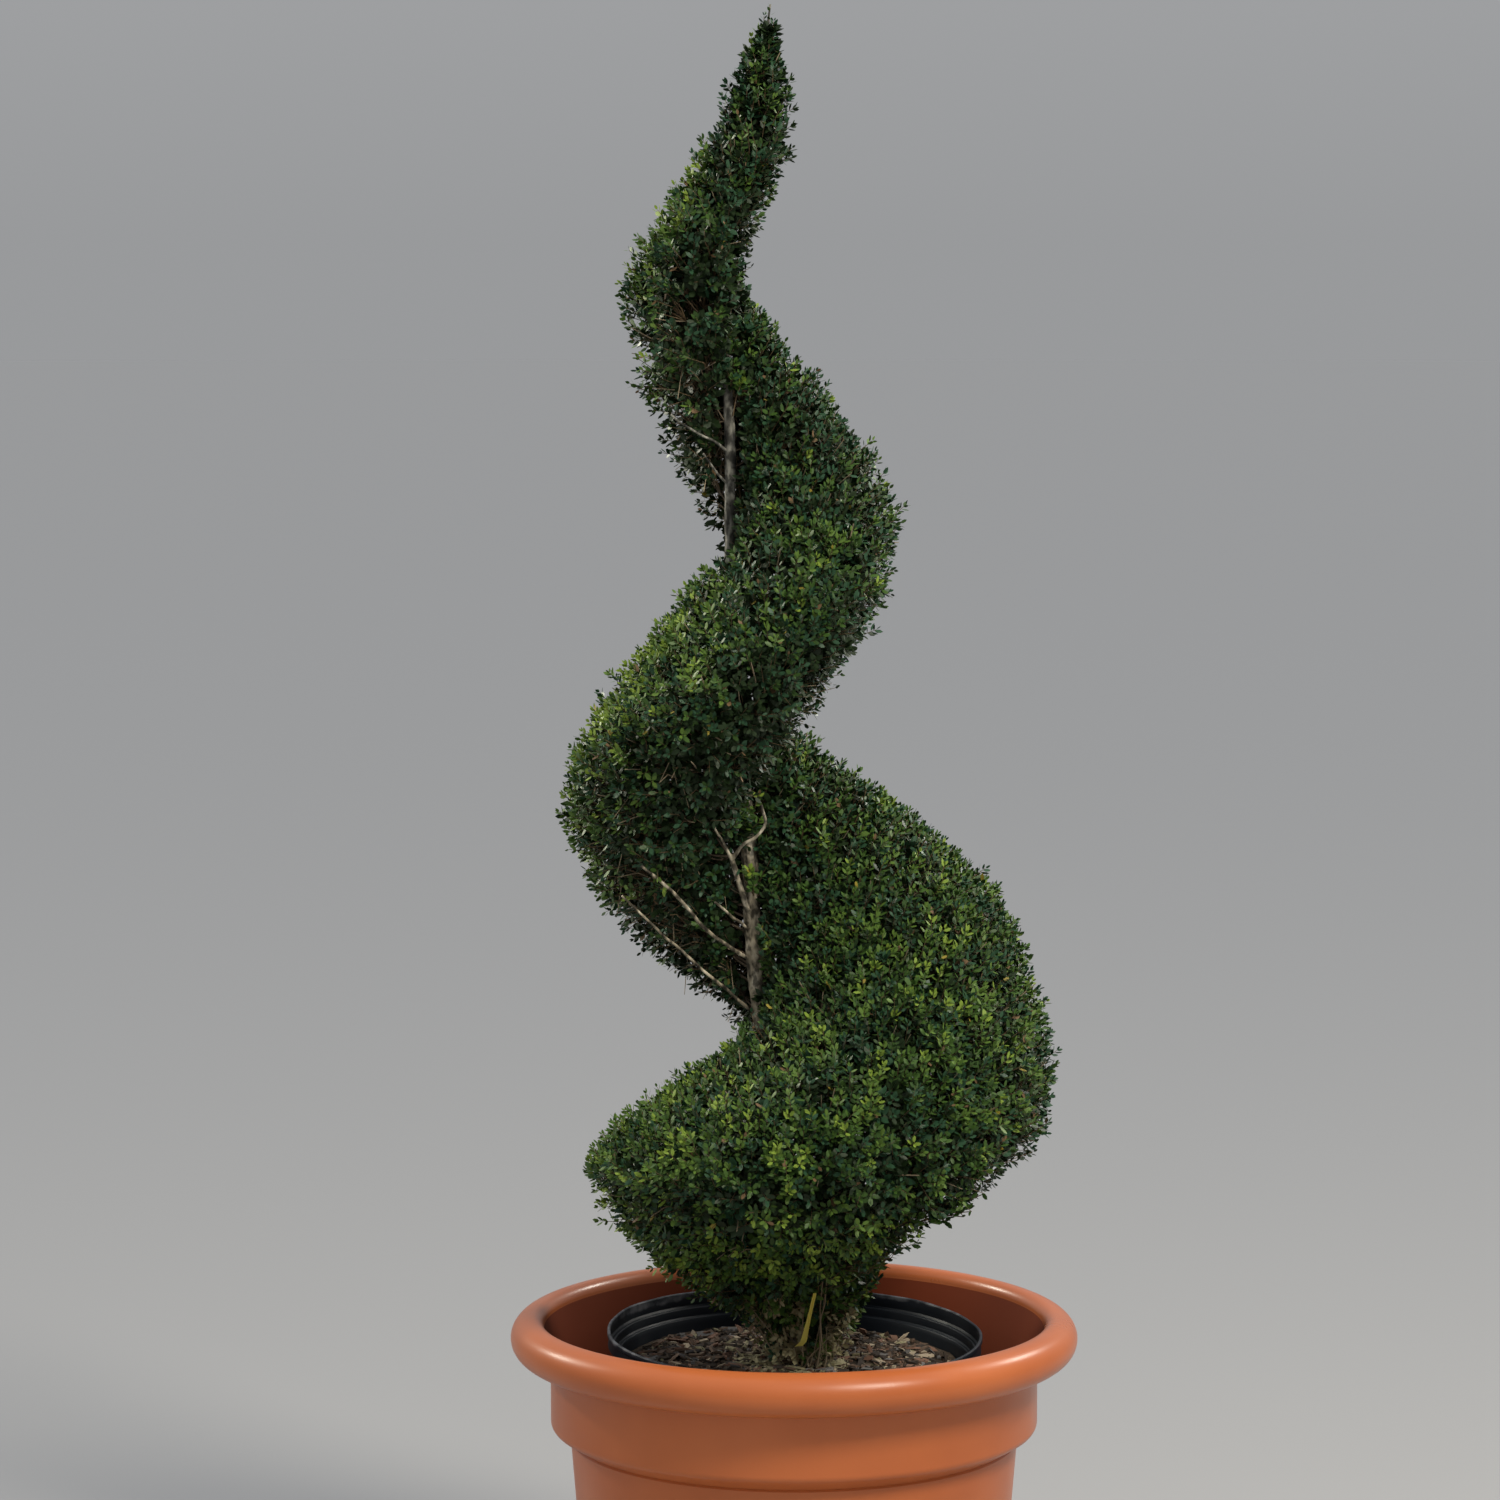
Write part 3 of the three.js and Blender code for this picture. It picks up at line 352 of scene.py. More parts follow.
def black_plastic():
    material = new_material("black_plastic", (0.006, 0.009, 0.015), 0.5, 0.15)
    near_lip = rising(material, LIP_TOP - SCUFFS_FROM, LIP_TOP - SCUFFS_TO)
    scuffs = add_noise(material, 60, 6)
    worn = material.node_tree.nodes.new("ShaderNodeMath")
    worn.operation = "MULTIPLY"
    wire(material, near_lip, "Result", worn, 0)
    wire(material, scuffs, "Fac", worn, 1)
    colours = add_ramp(material, worn, "Value", [
        (0.0, (0.005, 0.008, 0.013)), (0.4, (0.010, 0.013, 0.02)), (0.66, (0.12, 0.125, 0.14)),
    ])
    to_shader(material, colours, "Color", "Base Color")
    smears = add_noise(material, 22, 5)
    dullness = add_ramp(material, smears, "Fac", [(0.35, (0.38,) * 3), (0.7, (0.62,) * 3)])
    to_shader(material, dullness, "Color", "Roughness")
    add_bump(material, add_noise(material, 240, 4), "Fac", 0.0002, 0.4)
    return material


container_shape = turned(container_outline(), CONTAINER_SIDES)
warp_lip(container_shape)
finish_piece("container_pot", container_shape, [black_plastic()], ["nursery_container"])


# Compost: dark and crumbly, lower at its edge, and covered with weathered bark chips that lie
# where they were thrown, with mossy crumbs round the plant's foot. Chips have broken corners.
SOIL_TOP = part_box("trunk")[0].z
SOIL_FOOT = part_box("soil")[0].z
SOIL_EDGE_DROP = 0.007
SOIL_RADIUS = 0.1845
SOIL_BASE_RADIUS = 0.162
SOIL_RINGS = 46
SOIL_SIDES = 110
CHIP_SEED = 5
CHIP_COUNT = 2800
CHIP_LENGTH = (0.004, 0.03)
CHIPS_TOP = 0.006
LITTER_RADIUS = 0.062
LITTER_SHARE = 0.6
CHIP_CORNERS = np.array([
    (-0.5, -0.28, 0), (0.34, -0.5, 0), (0.5, 0.22, 0), (-0.3, 0.5, 0),
    (-0.42, -0.2, 1), (0.3, -0.4, 1), (0.4, 0.18, 1), (-0.24, 0.4, 1),
])
CHIP_FACES = [(3, 2, 1, 0), (4, 5, 6, 7), (0, 1, 5, 4), (1, 2, 6, 5), (2, 3, 7, 6), (3, 0, 4, 7)]
CHIP_COLOURS = {
    "chip_dark": ((0.030, 0.021, 0.015), 0.32),
    "chip_brown": ((0.095, 0.060, 0.040), 0.30),
    "chip_red": ((0.165, 0.090, 0.060), 0.13),
    "chip_grey": ((0.125, 0.118, 0.114), 0.11),
    "chip_green": ((0.240, 0.215, 0.125), 0.04),
    "chip_pale": ((0.320, 0.260, 0.185), 0.09),
}


def soil_height(x, y):
    """The compost's top: level in the middle, dropping to the edge, with small heaps."""
    out = math.hypot(x, y) / SOIL_RADIUS
    lumps = noise.noise(Vector((x, y, 0)) * 26) * 0.0035 + noise.noise(Vector((x, y, 3)) * 90) * 0.0016
    slope = LIP_SLOPE_RIGHT * x + LIP_SLOPE_BACK * y
    return SOIL_TOP - 0.004 - SOIL_EDGE_DROP * out ** 3 + slope + lumps * min(1, 1.6 - out)


def soil_shape():
    rings = [(SOIL_RADIUS * share, SOIL_TOP) for share in np.linspace(0, 1, SOIL_RINGS)]
    shape = turned([(0, SOIL_FOOT), (SOIL_BASE_RADIUS, SOIL_FOOT)] + rings[::-1], SOIL_SIDES)
    for vert in shape.verts:
        if vert.co.z > SOIL_TOP - 0.001:
            vert.co.z = soil_height(vert.co.x, vert.co.y)
    return shape


def crumbly_compost():
    material = new_material("crumbly_compost", (0.03, 0.019, 0.013), 0.95, 0.2)
    crumbs = add_noise(material, 260, 8)
    colours = add_ramp(material, crumbs, "Fac", [
        (0.3, (0.012, 0.009, 0.007)), (0.55, (0.048, 0.033, 0.022)), (0.75, (0.12, 0.09, 0.06)),
    ])
    to_shader(material, colours, "Color", "Base Color")
    add_bump(material, crumbs, "Fac", 0.002, 0.9)
    return material


def mesh_piece(name, points, faces, smooth, materials, material_index, node_names):
    """A piece of many small joined shapes, from arrays of points and of faces of one size."""
    mesh = bpy.data.meshes.new(name)
    corners = faces.shape[1]
    mesh.vertices.add(len(points))
    mesh.vertices.foreach_set("co", points.astype(np.float32).ravel())
    mesh.loops.add(faces.size)
    mesh.loops.foreach_set("vertex_index", faces.astype(np.int32).ravel())
    mesh.polygons.add(len(faces))
    mesh.polygons.foreach_set("loop_start", np.arange(0, faces.size, corners, dtype=np.int32))
    for material in materials:
        mesh.materials.append(material)
    mesh.polygons.foreach_set("material_index", material_index.astype(np.int32))
    mesh.polygons.foreach_set("use_smooth", np.full(len(faces), smooth))
    mesh.update(calc_edges=True)
    place_piece(name, mesh, node_names)


def unit(vectors):
    return vectors / np.maximum(np.linalg.norm(vectors, axis=-1, keepdims=True), 1e-9)


def scatter_chips():
    random = np.random.default_rng(CHIP_SEED)
    out = (SOIL_RADIUS - 0.012) * np.sqrt(random.random(CHIP_COUNT))
    angle = 2 * np.pi * random.random(CHIP_COUNT)
    x, y = out * np.cos(angle), out * np.sin(angle)
    z = np.array([soil_height(a, b) for a, b in zip(x, y)]) + random.uniform(-0.001, 0.0012, CHIP_COUNT)
    length = CHIP_LENGTH[0] + (CHIP_LENGTH[1] - CHIP_LENGTH[0]) * random.random(CHIP_COUNT) ** 2.6
    size = np.stack([length, length * random.uniform(0.1, 0.6, CHIP_COUNT),
                     random.uniform(0.0008, 0.0028, CHIP_COUNT)], 1)
    along = unit(np.stack([random.normal(0, 1, CHIP_COUNT), random.normal(0, 1, CHIP_COUNT),
                           random.normal(0, 0.22, CHIP_COUNT)], 1))
    up = unit(np.array([0, 0, 1.0]) + random.normal(0, 0.28, (CHIP_COUNT, 3)))
    across = unit(np.cross(up, along))
    up = np.cross(along, across)
    corners = CHIP_CORNERS + random.normal(0, 0.06, (CHIP_COUNT, 8, 3)) * (1, 1, 0.4)
    basis = np.stack([along, across, up], 1)
    points = np.stack([x, y, z], 1)[:, None] + np.einsum("nkc,ncd->nkd", corners * size[:, None], basis)
    points[..., 2] = np.minimum(points[..., 2], SOIL_TOP + CHIPS_TOP)
    faces = np.array(CHIP_FACES)[None] + 8 * np.arange(CHIP_COUNT)[:, None, None]
    shares = np.array([share for _, share in CHIP_COLOURS.values()])
    kind = random.choice(len(shares), CHIP_COUNT, p=shares / shares.sum())
    at_foot = (out < LITTER_RADIUS) & (random.random(CHIP_COUNT) < LITTER_SHARE)
    kind[at_foot] = list(CHIP_COLOURS).index("chip_green")
    return points.reshape(-1, 3), faces.reshape(-1, 4), np.repeat(kind, len(CHIP_FACES))


finish_piece("compost", soil_shape(), [crumbly_compost()], ["soil"], 80)
chip_points, chip_faces, chip_kinds = scatter_chips()
chip_materials = [new_material(name, base, 0.85, 0.3) for name, (base, _) in CHIP_COLOURS.items()]
mesh_piece("bark_chips", chip_points, chip_faces, False, chip_materials, chip_kinds, ["soil"])


# Trunk: one live stem from the compost to the tip. It leans left on its way up and back to the
# right near the top. The bark is tan and finely fissured low down, and grey and smoother above.
# Heights above the compost, the middle's lean to the side and the radius, in metres.
TRUNK_HEIGHT = [0, 0.06, 0.17, 0.31, 0.412, 0.54, 0.7, 0.87, 1.0, 1.13, 1.19, 1.24, 1.313, 1.444]
TRUNK_LEAN = [
    0.014, 0.004, -0.006, -0.025, -0.04, -0.048, -0.06,
    -0.068, -0.069, -0.077, -0.076, -0.063, -0.045, -0.026,
]
TRUNK_RADIUS = [
    0.017, 0.014, 0.0125, 0.011, 0.0095, 0.0086, 0.0076,
    0.0064, 0.0056, 0.0046, 0.004, 0.0034, 0.0026, 0.001,
]
PLANT_HEIGHT = TRUNK_HEIGHT[-1]
TRUNK_SIDES = 32
TRUNK_RINGS = 460
FLARE = 0.008
FLARE_HEIGHT = 0.028
FLARE_RIDGES = 5
TRUNK_RELIEF = 0.17
FINE_FISSURES = (330, 60)
COARSE_FISSURES = (110, 22)
GREY_BARK = (0.45, 0.9)
# A mix node's colour sockets.
MIX_FIRST, MIX_SECOND, MIX_RESULT = 6, 7, 2


def through(places, values, at):
    """A smooth curve through the values at their places, read at one or many places."""
    places, values = np.asarray(places, float), np.asarray(values, float)
    slopes = np.empty_like(values)
    slopes[1:-1] = (values[2:] - values[:-2]) / (places[2:] - places[:-2])
    slopes[0] = (values[1] - values[0]) / (places[1] - places[0])
    slopes[-1] = (values[-1] - values[-2]) / (places[-1] - places[-2])
    at = np.clip(at, places[0], places[-1])
    index = np.clip(np.searchsorted(places, at) - 1, 0, len(places) - 2)
    span = places[index + 1] - places[index]
    t = (at - places[index]) / span
    rise = t * t * (3 - 2 * t)
    leave = t * (1 - t) ** 2 * span * slopes[index]
    arrive = t * t * (t - 1) * span * slopes[index + 1]
    return values[index] * (1 - rise) + values[index + 1] * rise + leave + arrive


def trunk_lean(height):
    return through(TRUNK_HEIGHT, TRUNK_LEAN, height)


def trunk_radius(height):
    return through(TRUNK_HEIGHT, TRUNK_RADIUS, height)


def beside(turn, out, height):
    """Points beside the trunk: which way in turns, how far from its middle, and how high."""
    turn, out, height = np.broadcast_arrays(turn, out, height)
    angle = 2 * np.pi * turn
    return np.stack([trunk_lean(height) + out * np.cos(angle), out * np.sin(angle), SOIL_TOP + height], -1)


def limb_shape(line, radii, sides, level=False):
    """A tapering limb: a circle drawn out from ring to ring along a line."""
    shape = bmesh.new()
    made = bmesh.ops.create_circle(shape, cap_ends=True, segments=sides, radius=1)
    ring = made["verts"]
    edges = list({edge for vert in ring for edge in vert.link_edges})
    line = [Vector(point) for point in line]
    last = Matrix.Identity(4)
    for index, (point, radius) in enumerate(zip(line, radii)):
        forward = (line[min(index + 1, len(line) - 1)] - line[max(index - 1, 0)]).normalized()
        if level:
            forward = Vector((0, 0, 1))
        across = Vector((0, 1, 0)).cross(forward).normalized()
        other = forward.cross(across)
        place = Matrix.Translation(point) @ Matrix((across, other, forward)).transposed().to_4x4()
        place = place @ Matrix.Diagonal((radius, radius, 1, 1))
        if index:
            drawn = bmesh.ops.extrude_edge_only(shape, edges=edges)["geom"]
            ring = [item for item in drawn if isinstance(item, bmesh.types.BMVert)]
            edges = [item for item in drawn if isinstance(item, bmesh.types.BMEdge)]
        bmesh.ops.transform(shape, matrix=place @ last.inverted(), verts=ring)
        last = place
    bmesh.ops.contextual_create(shape, geom=edges)
    bmesh.ops.recalc_face_normals(shape, faces=shape.faces)
    return shape


def fissures(point, scales, shift=0):
    """Noise drawn out along the limb, from its scales across and upward."""
    across, upward = scales
    return noise.noise(Vector((point.x * across, point.y * across, point.z * upward + shift)))


def add_bark_relief(shape, middle_of, depth):
    """Fissures and low ridges, drawn out along the limb and shallower on thin wood."""
    for vert in shape.verts:
        middle, radius = middle_of(vert.co)
        outward = vert.co - middle
        if outward.length < 1e-6:
            continue
        fine = fissures(vert.co, FINE_FISSURES)
        coarse = fissures(vert.co, COARSE_FISSURES, 7)
        relief = depth * radius * (0.6 * fine + 0.8 * coarse)
        vert.co += outward.normalized() * relief


def live_bark():
    material = new_material("live_bark", (0.3, 0.22, 0.15), 0.9, 0.25)
    nodes = material.node_tree.nodes
    streaks = add_noise(material, 120, 8, (1, 1, 0.28))
    # Blotches darken and lighten the colour: partly flaky bark, partly painted dapples of leaf shadow and
    # light.
    flakes_and_dapples = add_ramp(material, add_noise(material, 125, 6, (1, 1, 0.72)), "Fac", [
        (0.42, (0.3,) * 3), (0.5, (0.95,) * 3), (0.6, (1.4,) * 3),
    ])
    tan = add_ramp(material, streaks, "Fac", [
        (0.34, (0.05, 0.042, 0.03)), (0.5, (0.232, 0.198, 0.138)), (0.68, (0.48, 0.425, 0.32)),
    ])
    grey = add_ramp(material, streaks, "Fac", [
        (0.34, (0.032, 0.031, 0.027)), (0.5, (0.134, 0.13, 0.11)), (0.68, (0.30, 0.288, 0.248)),
    ])
    upward = rising(material, *(SOIL_TOP + height for height in GREY_BARK))
    blend = nodes.new("ShaderNodeMix")
    blend.data_type = "RGBA"
    wire(material, upward, "Result", blend, "Factor")
    wire(material, tan, "Color", blend, MIX_FIRST)
    wire(material, grey, "Color", blend, MIX_SECOND)
    flaked_and_dappled = nodes.new("ShaderNodeMix")
    flaked_and_dappled.data_type = "RGBA"
    flaked_and_dappled.blend_type = "MULTIPLY"
    flaked_and_dappled.inputs["Factor"].default_value = 1
    wire(material, blend, MIX_RESULT, flaked_and_dappled, MIX_FIRST)
    wire(material, flakes_and_dapples, "Color", flaked_and_dappled, MIX_SECOND)
    to_shader(material, flaked_and_dappled, MIX_RESULT, "Base Color")
    add_bump(material, add_noise(material, 420, 6, (1, 1, 0.25)), "Fac", 0.0006, 0.8)
    return material


BARK = live_bark()
trunk_heights = PLANT_HEIGHT * np.linspace(0, 1, TRUNK_RINGS) ** 1.1
trunk_line = beside(0, 0, trunk_heights)
trunk_shape = limb_shape(trunk_line, trunk_radius(trunk_heights), TRUNK_SIDES, level=True)


def trunk_middle(point):
    height = point.z - SOIL_TOP
    return Vector((float(trunk_lean(height)), 0, point.z)), float(trunk_radius(height))


for vert in trunk_shape.verts:
    height = vert.co.z - SOIL_TOP
    middle, _ = trunk_middle(vert.co)
    outward = vert.co - middle
    ridge = 0.5 * (1 + math.cos(FLARE_RIDGES * math.atan2(outward.y, outward.x) + 0.5))
    swell = FLARE * math.exp(-height / FLARE_HEIGHT) * (0.5 + 0.5 * ridge)
    vert.co += outward.normalized() * min(swell, FLARE)
add_bark_relief(trunk_shape, trunk_middle, TRUNK_RELIEF)
finish_piece("trunk_bark", trunk_shape, [BARK], ["trunk"], 80)


# Boughs: the bare limbs that show under the foliage on the left, and two fine ones higher up.
# Each starts at the trunk or at a fork, thick at its start, and ends among the leaves or short of them.
# Start and end radius, then points as turn, distance from the trunk's middle and height.
BOUGHS = {
    "bough_left_high": ((0.0027, 0.0018), [
        (0.6, 0, 0.43), (0.6, 0.054, 0.464), (0.6, 0.104, 0.516), (0.6, 0.139, 0.544)]),
    "bough_left_low": ((0.0022, 0.0015), [
        (0.57, 0, 0.368), (0.57, 0.05, 0.415), (0.57, 0.105, 0.466), (0.57, 0.15, 0.51)]),
    "bough_left_short": ((0.0022, 0.0015), [(0.64, 0, 0.461), (0.64, 0.03, 0.482), (0.64, 0.06, 0.501)]),
    "bough_front": ((0.0044, 0.0032), [(0.66, 0, 0.464), (0.66, 0.017, 0.508), (0.66, 0.036, 0.549)]),
    "bough_front_left": ((0.002, 0.0014), [
        (0.66, 0.034, 0.545), (0.655, 0.048, 0.566), (0.65, 0.066, 0.592)]),
    "bough_front_right": ((0.0025, 0.0019), [
        (0.66, 0.034, 0.545), (0.735, 0.035, 0.562), (0.79, 0.038, 0.57), (0.825, 0.043, 0.584),
        (0.815, 0.045, 0.604)]),
    "bough_upper_high": ((0.0018, 0.0013), [
        (0.6, 0, 0.974), (0.6, 0.028, 0.99), (0.6, 0.062, 1.007), (0.6, 0.074, 1.016)]),
    "bough_upper_low": ((0.0018, 0.0013), [(0.58, 0, 0.938), (0.58, 0.019, 0.958), (0.58, 0.032, 0.974)]),
}
BOUGH_SIDES = 14
BOUGH_STEP = 0.004
BOUGH_CROOK = 0.0022
BOUGH_CROOK_SCALE = 45
CROOK_SEED = 1
BOUGH_BARK = 0.8
BOUGH_RELIEF = 0.16
BOUGH_COLLAR = np.array([0.5, 0.3, 0.15, 0.05])


def bough_line(path):
    """The middle line through a bough's points, with the small crooks of real wood."""
    stations = beside(*np.array(path).T)
    lengths = np.concatenate([[0], np.cumsum(np.linalg.norm(np.diff(stations, axis=0), axis=1))])
    count = max(6, round(lengths[-1] / BOUGH_STEP))
    at = np.linspace(0, lengths[-1], count)
    line = np.stack([through(lengths, stations[:, axis], at) for axis in range(3)], 1)
    fade = np.sin(np.linspace(0, np.pi, count))[:, None]
    crooks = np.array([noise.noise_vector(Vector(point) * BOUGH_CROOK_SCALE) for point in line])
    return line + BOUGH_CROOK * fade * crooks


# Without a seed Blender's noise vectors, and so the boughs' crooks, differ from run to run.
noise.seed_set(CROOK_SEED)
bough_lines = {}
for bough_name, (radii, path) in BOUGHS.items():
    line = bough_line(path)
    widths = BOUGH_BARK * np.linspace(*radii, len(line))
    widths[:len(BOUGH_COLLAR)] += BOUGH_COLLAR * radii[0]
    bough_lines[bough_name] = line
    bough_shape = limb_shape(line, widths, BOUGH_SIDES)
    nearest = kdtree.KDTree(len(line))
    for index, point in enumerate(line):
        nearest.insert(point, index)
    nearest.balance()

    def bough_middle(point, nearest=nearest, widths=widths):
        middle, index, _ = nearest.find(point)
        return middle, widths[index]

    add_bark_relief(bough_shape, bough_middle, BOUGH_RELIEF)
    finish_piece(bough_name + "_bark", bough_shape, [BARK], [bough_name], 80)


# The clipped shape that the foliage keeps to: a band that climbs round the trunk, anticlockwise
# from above. A turn of 0 faces right, a quarter back, a half left, three quarters front.
BAND = {
    "turn": [-1, -0.75, -0.5, -0.25, 0, 0.25, 0.5, 0.75, 1, 1.25, 1.5, 1.75, 2, 2.25, 2.5, 2.75],
    # The middle height of the bare groove under the band, and half its height at the trunk.
    "groove": [
        0, 0, 0, 0.02, 0.145, 0.26, 0.373, 0.489,
        0.655, 0.79, 0.897, 0.965, 1.148, 1.235, 1.4, 1.444],
    "bare": [
        0, 0, 0, 0.004, 0.008, 0.025, 0.024, 0.08,
        0.008, 0.03, 0.015, 0.06, 0.008, 0.008, 0, 0],
    # The height and reach of the band's edge, and how full it is above and below.
    "edge": [
        0.09, 0.15, 0.207, 0.262, 0.335, 0.47, 0.615, 0.755,
        0.89, 1.01, 1.125, 1.21, 1.29, 1.345, 1.42, 1.444],
    "reach": [
        0.098, 0.176, 0.215, 0.27, 0.308, 0.262, 0.2, 0.184,
        0.186, 0.14, 0.11, 0.074, 0.042, 0.032, 0.008, 0.002],
    "above": [1.8, 1.5, 1.6, 2.2, 3, 2.4, 1.32, 1.6, 1.55, 1.6, 1.45, 1.6, 2.6, 2, 1.5, 1.5],
    "below": [1.3, 1.8, 1.8, 1.8, 3, 2.2, 2.7, 2.2, 1.6, 2, 2.3, 2, 2.2, 1.6, 1.5, 1.5],
}
CROWN_HEIGHT = 1.29
WEDGE = 0.125
SKIRT_RADIUS = 0.034
SKIRT_SLOPE = 0.72
SKIRT_TOP = 0.16
SKIRT_CLOSE = 4
TIP_SLOPE = 0.38
TIP_RADIUS = 0.002
MASSES = {
    "base_right": -1, "base_back": -0.75, "base_left": -0.5, "base_front": -0.25,
    "lower_right": 0, "lower_back": 0.25, "middle_left": 0.5, "middle_front": 0.75,
    "middle_right": 1, "middle_back": 1.25, "upper_left": 1.5, "upper_front": 1.75,
    "upper_right": 2, "crown": None,
}


def band(name, turn):
    return through(BAND["turn"], BAND[name], turn)


def band_floor(turn):
    return np.where(turn < -WEDGE, 0, band("groove", turn) + band("bare", turn))


def band_roof(turn):
    return np.minimum(band("groove", turn + 1) - band("bare", turn + 1), PLANT_HEIGHT)


def surface_reach(turn, height):
    """How far the clipped surface stands from the trunk's middle."""
    low = band("groove", turn) + band("bare", turn)
    high = band_roof(turn)
    edge = band("edge", turn)
    upper = np.clip((height - edge) / np.maximum(high - edge, 0.001), 0, 1)
    lower = np.clip((edge - height) / np.maximum(edge - low, 0.001), 0, 1)
    fall = np.where(height > edge, upper ** band("above", turn), lower ** band("below", turn))
    reach = np.where((height >= low) & (height <= high), band("reach", turn) * (1 - fall), 0)
    closing = SKIRT_RADIUS + SKIRT_SLOPE * SKIRT_TOP - SKIRT_CLOSE * (height - SKIRT_TOP)
    skirt = np.minimum(SKIRT_RADIUS + SKIRT_SLOPE * height, closing)
    reach = np.where(turn < -WEDGE, np.maximum(reach, skirt), reach)
    return np.maximum(np.minimum(reach, TIP_RADIUS + TIP_SLOPE * (PLANT_HEIGHT - height)), 0)


def mass_reach(mass_turn, turn, height):
    """The clipped surface of one mass; over the tip the last turns of the band run together."""
    if mass_turn is not None:
        return surface_reach(turn, height)
    part = turn - np.floor(turn)
    return np.maximum(surface_reach(part + 1, height), surface_reach(part + 2, height))


# Marker tape: a narrow strip of thin yellow plastic, tied in the twigs near the trunk's foot and
# hanging down the front. It is folded along its middle, and widens and hooks left at its end.
TAPE_TOP = 0.092
TAPE_FOOT = 0.024
TAPE_TOP_X = 0.022
TAPE_FOOT_X = 0.009
TAPE_STEPS = 22
TAPE_FOLD = 0.0022
TAPE_OUT = 0.0008


def tape_middle(share):
    """The strip's middle, from the knot down to its end."""
    height = TAPE_TOP + (TAPE_FOOT - TAPE_TOP) * share
    x = TAPE_TOP_X + (TAPE_FOOT_X - TAPE_TOP_X) * share - 0.004 * max(0, share - 0.9) / 0.1
    return Vector((x, -(SKIRT_RADIUS + SKIRT_SLOPE * height) - TAPE_OUT, SOIL_TOP + height))


def tape_shape():
    shape = bmesh.new()
    last = None
    for step in range(TAPE_STEPS + 1):
        share = step / TAPE_STEPS
        middle = tape_middle(share)
        half = 0.0018 + 0.0027 * share ** 2
        twist = 0.5 * math.sin(2.2 * share)
        side = Vector((math.cos(twist), math.sin(twist), 0)) * half
        fold = Vector((0, TAPE_FOLD * math.cos(twist), 0))
        row = [shape.verts.new(middle - side), shape.verts.new(middle + fold), shape.verts.new(middle + side)]
        if last:
            for index in (0, 1):
                shape.faces.new((last[index], last[index + 1], row[index + 1], row[index]))
        last = row
    bmesh.ops.recalc_face_normals(shape, faces=shape.faces)
    bmesh.ops.solidify(shape, geom=shape.faces, thickness=0.0003)
    return shape


tape_material = new_material("yellow_tape", (0.92, 0.83, 0.18), 0.45, 0.5)
finish_piece("yellow_tape", tape_shape(), [tape_material], ["marker_tape"], 50)
tape_line = np.array([tape_middle(share) for share in np.linspace(0, 1, 12)])


# Twigs: branches grow from the trunk, and a few from the tips of two boughs. They fork twice, and
# the last shoots end at the clipped surface, with shaded shoots behind them. A few bare twigs stand
# out or hang free, and the foliage under the upper left has gaps.
SHOOT_SPACING = 0.0079
CROWN_SPACING = 0.0088
CROWN_SHOOTS_TOP = 1.418
INNER_SPACING = 0.0116
SHOOT_INSET = (0.010, 0.015)
THIN_MASS = 0.08
INNER_INSET = (0.024, 0.05)
LONG_SHARE = 0.13
LONG_REACH = (0.004, 0.012)
BRANCH_SHOOTS = 60
TWIG_SHOOTS = 8
SHOOT_LENGTH = 0.038
SHOOT_LIFT = 0.75
CROWN_LIFT = 1.5
TUFT_SIZE = (0.05, 0.018)
TUFT_DEPTH = (0.009, 0.008)
HOLLOW_SIZE = 0.024
HOLLOW_SEED = 7
HOLLOW_SPREAD = 0.9
SHADED_SPREAD = 0.6
TWIG_SIDES = 3
GATHER_ROUNDS = 4
ROOT_DROP = 0.55
BOUGH_PULL = 0.75
FIRST_SEED = 1000
# Radii in metres: of branches and twigs when very short, what each metre adds, the least and the most.
BRANCH_RADIUS = (0.0012, 0.011, 0.0013, 0.0032)
TWIG_RADIUS = (0.0008, 0.006, 0.0009, 0.0018)
SHOOT_RADII = np.array([0.0007, 0.00055, 0.0003])
HANGING_RADII = np.array([0.0007, 0.0006, 0.0005, 0.0003])
STEM_RADII = np.linspace(0.0012, 0.0006, 6)
BARE_SHOOT_WIDTH = 1.6
BEHIND = 0.03
GRID_TURNS = 90
GRID_HEIGHTS = 260
GROOVE_CLEAR = (0.022, 0.048)
SHOW_TRUNK = ((0.40, 0.505), (0.875, 1.03))
SHOW_LEFT = -0.012
SHOW_RIGHT = 0.006
SHOW_BOUGH = 0.007
SHOW_SHARE = 0.75
SHOW_TAPE = 0.008
OPEN_TURNS = ((0.3, 0.72), (1.3, 1.75))
OPEN_SHARE = 0.4
GAP_SIZE = 0.026
GAP_SEED = 9
GAP_LEVEL = 0.08
BARE_SHARE = 0.045
HANGING_SHARE = 0.3
SKIRT_STEMS = 9
STEM_CROOK = 0.0018
SKIRT_SHADE = 0.3
LEADERS = (
    (0, 0, 1.44), (0.4, 0.006, 1.432), (0.9, 0.007, 1.426), (0.6, 0.010, 1.42), (0.15, 0.010, 1.415),
    (0.45, 0.016, 1.41), (0.8, 0.015, 1.405),
)
LEADER_LENGTH = 0.036
LEADER_LEAF = 0.85
SPRAY_COUNT = 30
# Short shoots close to the trunk: the spans of their turn, distance and height.
SPRAY_PLACES = {
    "middle_front": ((0.7, 1.02), (0.014, 0.03), (0.515, 0.615)),
    "upper_front": ((1.62, 1.98), (0.010, 0.022), (1.036, 1.112)),
}
SPRAY_LENGTH = 0.022


def seeded(name):
    return np.random.default_rng(FIRST_SEED + list(MASSES).index(name))


